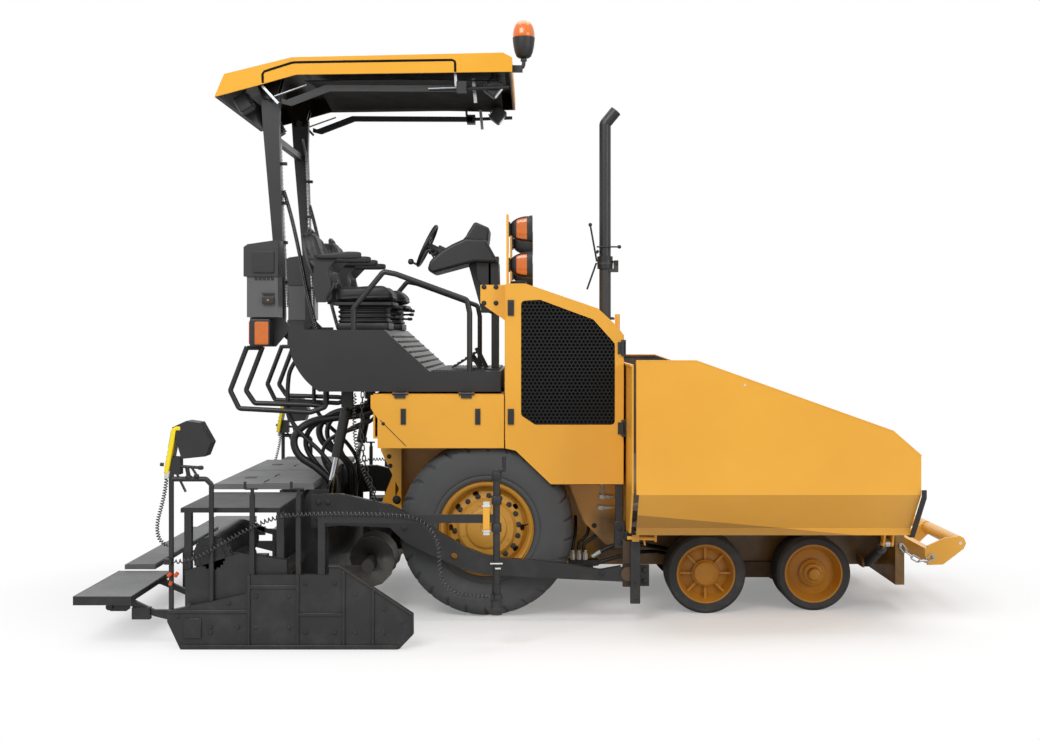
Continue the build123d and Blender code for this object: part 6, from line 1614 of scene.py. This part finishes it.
    # Grade sensor: clamp block with two nuts, thumb screws, pins and the sensor's collar
    clamp = [soft_box((-0.358, -0.320), (side * 1.655, side * 1.706), (0.652, 0.778), 0.15, 32)]
    add_piece(f"sensor_clamp_{side_name}", clamp, yellow, body)
    nuts = merge([rod_part((-0.339, side * 1.684, 0.778), (-0.339, side * 1.684, 0.786), 0.026, 24),
                  rod_part((-0.339, side * 1.684, 0.786), (-0.339, side * 1.684, 0.806), 0.020, 6),
                  rod_part((-0.339, side * 1.684, 0.644), (-0.339, side * 1.684, 0.652), 0.026, 24),
                  rod_part((-0.339, side * 1.684, 0.624), (-0.339, side * 1.684, 0.644), 0.020, 6),
                  rod_part((-0.318, side * 1.712, 0.470), (-0.250, side * 1.712, 0.470), 0.004, 10),
                  rod_part((-0.290, side * 1.705, 0.442), (-0.260, side * 1.705, 0.442), 0.005, 10)])
    add_piece(f"sensor_pins_{side_name}", [nuts], pale_fitting, body, 25)
    collar = turned_template(
        [(0.026, 0.0), (0.028, 0.006), (0.028, 0.040), (0.024, 0.048), (0.019, 0.048)], 32)
    bell = turned_template([(0.0325, 0.0), (0.0345, 0.004), (0.0345, 0.020), (0.0325, 0.026)], 40)
    rings = merge([
        rod_part((-0.284, side * 1.680, 0.965), (-0.244, side * 1.680, 0.985), 0.012, 14),
        rod_part((-0.242, side * 1.680, 0.972), (-0.242, side * 1.680, 1.055), 0.0105, 14),
        copies(collar[:2], [(-0.284, side * 1.680, z) for z in (0.640, 0.790, 0.925)], "+Z"),
        copies(bell[:2], [(-0.284, side * 1.680, z) for z in (0.200, 0.262)], "+Z")])
    add_piece(f"sensor_collars_{side_name}", [rings], dark_cast, body)

    # End gate: shoe, stiffeners, top flange, bolts, the toothed side cover and the adjusting screws
    face = 1.7005
    gate = [box_part((-2.012, -0.822), (side * 1.690, side * 1.7150), (0.000, 0.024)),
            strip_part([(-1.205, 0.4540), (-1.144, 0.4540), (-0.7425, 0.1880), (-0.7425, 0.080)], 0.0050,
                       (side * 1.665, side * 1.7130))]
    for x, top in ((-1.640, 0.405), (-1.372, 0.405), (-1.120, 0.430), (-0.960, 0.325)):
        gate.append(box_part((x - 0.007, x + 0.007), (side * face, side * 1.7125), (0.024, top)))
    gate += [box_part((-1.640, -1.372), (side * face, side * 1.7080), (0.330, 0.352)),
             box_part((-1.372, -1.120), (side * face, side * 1.7080), (0.180, 0.200)),
             box_part((-2.080, -1.640), (side * face, side * 1.7080), (0.196, 0.216)),
             box_part((-1.995, -1.900), (side * face, side * 1.7100), (0.060, 0.170))]
    gate_piece = add_piece(f"gate_ribs_{side_name}", gate, dark, body)
    bevelled(gate_piece, 0.003, 2)
    bolt_places = [
        (x, side * face, z)
        for x, z in (
            (-1.97, 0.240), (-1.75, 0.250), (-1.70, 0.120), (-1.60, 0.120), (-1.60, 0.290), (-1.42, 0.290),
            (-1.42, 0.120), (-1.33, 0.360), (-1.33, 0.090), (-1.17, 0.360), (-1.17, 0.090), (-1.06, 0.300),
            (-1.06, 0.090), (-0.90, 0.220), (-0.90, 0.090), (-0.80, 0.150), (-1.85, 0.120), (-2.03, 0.180),
            (-1.85, 0.090))]
    gate_bolts = copies(BOLT, bolt_places, "+Y" if side > 0 else "-Y", 0.0095)
    add_piece(f"gate_bolts_{side_name}", [gate_bolts], dark_cast, body, 25)
    teeth_angle = np.linspace(0, 2 * pi, 144, endpoint=False)
    ring_angle = teeth_angle[:, None]
    tooth = 0.106 + 0.006 * np.clip(np.sin(18 * ring_angle) * 3, -1, 1)
    levels = np.array([[0.0, 1.0], [0.010, 1.0], [0.014, 0.96], [0.014, 0.70], [0.020, 0.66], [0.020, 0.10]])
    ring = np.stack([
        -1.850 + tooth * levels[None, :, 1] * np.cos(ring_angle),
        side * (1.640 + levels[None, :, 0]) + 0 * ring_angle,
        0.500 + tooth * levels[None, :, 1] * np.sin(ring_angle)], axis=-1)
    quads = grid_faces(144, 6, close_rows=True)
    cover_bolts = copies(
        BOLT, ring_places(-1.850, 0.500, 0.090, 8, side * 1.654), "+Y" if side > 0 else "-Y", 0.007)
    add_piece(
        f"vibrator_cover_{side_name}",
        [(ring.reshape(-1, 3), quads if side < 0 else quads[:, ::-1]), cover_bolts], dark_cast, body)
    screws = []
    for x in (-1.626, -1.372):
        screws.append(rod_part((x, side * 1.677, 0.844), (x, side * 1.677, 0.880), 0.010, 14))
        screws.append(rod_part((x - 0.040, side * 1.677, 0.876), (x + 0.030, side * 1.677, 0.876), 0.006, 12))
        screws.append(rod_part((x - 0.040, side * 1.677, 0.876), (x - 0.040, side * 1.677, 0.915), 0.008, 12))
    add_piece(f"gate_screws_{side_name}", screws, dark_cast, body)

    # Extension walkway: anti-slip plate, edge trim, the brackets below it and the deck plate
    add_piece(
        f"walkway_plate_{side_name}",
        [box_part((-2.600, -2.288), (side * 0.864, side * 1.696), (0.2851, 0.2880))], deck_grey, body)
    add_piece(
        f"extension_deck_{side_name}",
        [box_part((-2.026, -1.484), (side * 0.872, side * 1.636), (0.7641, 0.7670))], deck_dark, body)
    trims = [box_part((-2.604, -2.284), (side * 1.6965, side * 1.7010), (0.240, 0.2885)),
             box_part((-2.6045, -2.5985), (side * 0.862, side * 1.700), (0.240, 0.2885)),
             box_part((-2.420, -2.330), (side * 1.560, side * 1.640), (0.196, 0.256)),
             box_part((-2.300, -2.200), (side * 1.600, side * 1.640), (0.150, 0.215)),
             rod_part((-2.420, side * 1.500, 0.222), (-2.420, side * 1.660, 0.222), 0.018)]
    add_piece(f"walkway_trim_{side_name}", trims, dark, body)

# Main screed: anti-slip plates in two levels, their hinges, crown adjuster, gas pipes and arm bolts
plates = [
    box_part((-2.030, -1.740), (-0.832, -0.010), (0.8101, 0.8130)),
    box_part((-2.030, -1.740), (0.010, 0.832), (0.8101, 0.8130)),
    box_part((-1.730, -1.428), (-0.832, -0.010), (0.8101, 0.8180)),
    box_part((-1.730, -1.428), (0.010, 0.832), (0.8101, 0.8180)),
    box_part((-2.572, -2.395), (-0.832, 0.832), (0.3201, 0.3230))]
add_piece("deck_plates", plates, deck_grey, "screed")
hinges = [
    rod_part((-1.735, y - 0.05, 0.815), (-1.735, y + 0.05, 0.815), 0.008, 12)
    for y in (-0.70, -0.35, 0.35, 0.70)]
hinges += [
    soft_box((-1.920, -1.850), (y - 0.045, y + 0.045), (0.8125, 0.8165), 0.3, 24)
    for y in (-0.45, 0.45)]
add_piece("deck_hinges", hinges, dark_cast, "screed")
screed_parts = [rod_part((-1.560, -0.30, 0.620), (-1.560, 0.30, 0.620), 0.028, 24),
                rod_part((-1.500, -0.78, 0.540), (-1.500, 0.78, 0.540), 0.013, 14),
                rod_part((-1.470, -0.78, 0.500), (-1.470, 0.78, 0.500), 0.010, 14),
                box_part((-1.620, -1.500), (-0.060, 0.060), (0.456, 0.680)),
                box_part((-1.600, -1.470), (-0.480, -0.380), (0.456, 0.600)),
                box_part((-1.600, -1.470), (0.380, 0.480), (0.456, 0.600))]
screed_piece = add_piece("screed_fittings", screed_parts, dark_cast, "screed")
bevelled(screed_piece, 0.003, 2)
arm_bolts = []
for side_name, side in SIDES:
    facing = "+Y" if side > 0 else "-Y"
    places = [
        (x, side * 0.955, z)
        for x, z in (
            (-1.375, 0.715), (-1.375, 0.620), (-1.320, 0.715), (-1.320, 0.620), (-1.000, 0.655),
            (-0.860, 0.560), (0.330, 0.290))]
    arm_bolts.append(copies(BOLT, places, facing, 0.014))
add_piece("arm_bolts", arm_bolts, dark_cast, "screed", 25)

# Hydraulic hoses from the platform down to the screed: name, diameter and the left side's route
HOSES = (
    ("feed_hose", 0.048, (
        (-1.035, 0.484, 1.366), (-1.045, 0.488, 1.300), (-1.110, 0.492, 1.225), (-1.330, 0.500, 1.200),
        (-1.500, 0.508, 1.180), (-1.612, 0.512, 1.085), (-1.585, 0.512, 0.960), (-1.450, 0.508, 0.880),
        (-1.360, 0.500, 0.790), (-1.350, 0.500, 0.680), (-1.350, 0.500, 0.538))),
    ("return_hose", 0.034, (
        (-1.035, 0.480, 1.330), (-1.060, 0.470, 1.270), (-1.150, 0.462, 1.235), (-1.380, 0.455, 1.215),
        (-1.520, 0.452, 1.130), (-1.545, 0.452, 1.010), (-1.470, 0.452, 0.900), (-1.375, 0.455, 0.800),
        (-1.372, 0.455, 0.690), (-1.368, 0.455, 0.538))),
    ("thin_hose", 0.028, (
        (-1.566, 0.520, 1.585), (-1.625, 0.520, 1.520), (-1.640, 0.520, 1.400), (-1.640, 0.522, 1.220),
        (-1.570, 0.526, 1.110), (-1.420, 0.530, 0.980), (-1.335, 0.536, 0.860), (-1.318, 0.538, 0.760),
        (-1.345, 0.538, 0.640), (-1.350, 0.538, 0.538))),
    ("low_hose", 0.024, (
        (-1.040, 0.482, 1.290), (-1.075, 0.455, 1.200), (-1.200, 0.420, 1.130), (-1.370, 0.410, 1.080),
        (-1.445, 0.405, 0.985), (-1.420, 0.405, 0.880), (-1.340, 0.405, 0.800), (-1.325, 0.405, 0.700),
        (-1.340, 0.405, 0.538))),
)
for side_name, side in SIDES:
    upper = [box_part((-1.062, -1.010), (side * 0.458, side * 0.4995), (1.275, 1.372))]
    lower = [box_part((-1.396, -1.322), (side * 0.376, side * 0.538), (0.512, 0.556))]
    for hose_name, diameter, route in HOSES:
        line, length = even_line(route_line("route", [(x, side * y, z) for x, y, z in route]), 110)
        hose = add_piece(
            f"{hose_name}_{side_name}", [capped_tube(line, diameter / 2, 16)], hose_rubber, None,
            60)
        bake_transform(hose)
        upper.append(rod_part(line[0], line[3], diameter / 2 + 0.005, 20))
        lower.append(rod_part(line[-1], line[-4], diameter / 2 + 0.005, 20))
    add_piece(f"hose_block_{side_name}", upper, dark_cast, "tractor")
    add_piece(f"hose_tray_{side_name}", lower, dark_cast, "screed")

    # Curly signal cable beside the chain, and the sleeved harness from the mast to the seat deck
    signal = route_line("route", [(x, side * y, z) for x, y, z in (
        (-1.180, 0.770, 1.366), (-1.185, 0.785, 1.220), (-1.165, 0.850, 1.040), (-1.110, 0.905, 0.880),
        (-1.045, 0.935, 0.760), (-1.030, 0.938, 0.668))])
    signal_path = curly_path(signal, 0.0200, 0.0100)
    signal_cable = add_piece(
        f"signal_cable_{side_name}", [capped_tube(signal_path, 0.0034, 8)], coil_rubber, None,
        60)
    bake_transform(signal_cable)
    sleeve, _ = even_line(route_line("route", [(x, side * y, z) for x, y, z in (
        (-1.668, 0.506, 2.640), (-1.630, 0.490, 2.520), (-1.570, 0.480, 2.240), (-1.520, 0.478, 1.980),
        (-1.480, 0.478, 1.830), (-1.462, 0.478, 1.768))]), 300)
    ribs = 0.0125 + 0.0020 * np.sin(np.linspace(0, 2 * pi * 70, 300))
    harness = add_piece(
        f"harness_{side_name}", [capped_tube(sleeve, ribs, 12)], coil_rubber, None, 60)
    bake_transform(harness)

    # Safety chain from the platform's edge down to the tow arm, hanging slack
    links = chain_parts([
        (-1.130, side * 0.792, 1.372), (-1.128, side * 0.860, 1.150), (-1.100, side * 0.925, 0.950),
        (-1.050, side * 0.938, 0.800),
        (-1.020, side * 0.938, 0.672)], 0.046, width=0.026, wire=0.0036, steps=24, sides=8)
    chain_piece = add_piece(f"lock_chain_{side_name}", links, dark_cast, None)
    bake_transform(chain_piece)

# studio and camera
scene = bpy.context.scene
scene.view_settings.view_transform = "Standard"

world = bpy.data.worlds.new("studio")
world.use_nodes = True
scene.world = world
sky = world.node_tree
background = sky.nodes["Background"]
path_kind = add_node(sky, "ShaderNodeLightPath")
seen = maths(
    sky, "MAXIMUM", path_kind.outputs["Is Camera Ray"],
    maths(sky, "MAXIMUM", path_kind.outputs["Is Glossy Ray"], path_kind.outputs["Is Transmission Ray"]))
background.inputs["Color"].default_value = (1, 1, 1, 1)
soft_light = add_node(sky, "ShaderNodeBackground", {"Color": (1, 1, 1, 1), "Strength": 0.44})
both = add_node(sky, "ShaderNodeMixShader", {0: seen, 1: soft_light.outputs[0], 2: background.outputs[0]})
sky.links.new(both.outputs[0], sky.nodes["World Output"].inputs["Surface"])


def panel_light(name, place, target, size, power):
    """A soft area light turned towards a target."""
    data = bpy.data.lights.new(name, "AREA")
    data.shape = "RECTANGLE"
    data.size, data.size_y = size
    data.energy = power
    lamp = bpy.data.objects.new(name, data)
    scene.collection.objects.link(lamp)
    aim = Vector(target) - Vector(place)
    lamp.location = place
    lamp.rotation_euler = aim.to_track_quat("-Z", "Y").to_euler()
    return lamp


panel_light("key", (-3.5, -8.0, 7.5), (0.3, 0.0, 1.2), (5.0, 4.0), 500.0)
panel_light("fill", (6.5, -7.0, 4.0), (0.5, 0.0, 1.0), (4.0, 4.0), 200.0)
panel_light("top", (0.0, 0.5, 9.0), (0.0, 0.0, 0.0), (8.0, 6.0), 400.0)

floor_size = 60.0
floor_mesh = mesh_from("floor", [(-floor_size, -floor_size, 0), (floor_size, -floor_size, 0),
                                 (floor_size, floor_size, 0), (-floor_size, floor_size, 0)], [[0, 1, 2, 3]])
floor = bpy.data.objects.new("floor", floor_mesh)
scene.collection.objects.link(floor)
floor_paint = bpy.data.materials.new("studio_floor")
floor_paint.use_nodes = True
ground = floor_paint.node_tree
floor_shader = ground.nodes["Principled BSDF"]
floor_shader.inputs["Base Color"].default_value = (0.9, 0.9, 0.9, 1)
floor_shader.inputs["Roughness"].default_value = 0.8
from_middle = add_node(ground, "ShaderNodeVectorMath",
                       {0: add_node(ground, "ShaderNodeTexCoord").outputs["Object"], 1: (0.32, 0.5, 1.0)},
                       operation="MULTIPLY")
distance = add_node(
    ground, "ShaderNodeVectorMath", {0: from_middle.outputs[0]}, operation="LENGTH").outputs["Value"]
away = maths(ground, "MULTIPLY", span_of(ground, distance, 0.75, 1.25, 0.25, 1.0),
             add_node(ground, "ShaderNodeLightPath").outputs["Is Camera Ray"])
white = add_node(ground, "ShaderNodeEmission", {"Color": (1, 1, 1, 1), "Strength": 1.0})
dull = add_node(ground, "ShaderNodeBsdfDiffuse", {"Color": (0.66, 0.66, 0.66, 1)})
camera_ray = add_node(ground, "ShaderNodeLightPath").outputs["Is Camera Ray"]
near = add_node(ground, "ShaderNodeMixShader",
                {0: camera_ray, 1: dull.outputs[0], 2: floor_shader.outputs[0]})
blended = add_node(ground, "ShaderNodeMixShader", {0: away, 1: near.outputs[0], 2: white.outputs[0]})
ground.links.new(blended.outputs[0], ground.nodes["Material Output"].inputs["Surface"])
floor_mesh.materials.append(floor_paint)

camera_data = bpy.data.cameras.new("camera")
camera_data.sensor_width = 36.0
camera_data.lens = 36.0 * 1378.0 / 1040.0
camera_data.shift_x = -0.0144
camera_data.shift_y = -0.0317
camera_data.clip_end = 200.0
camera = bpy.data.objects.new("camera", camera_data)
scene.collection.objects.link(camera)
camera.location = (-0.0725, -9.25, 1.71)
camera.rotation_euler = (radians(90), 0, 0)
scene.camera = camera
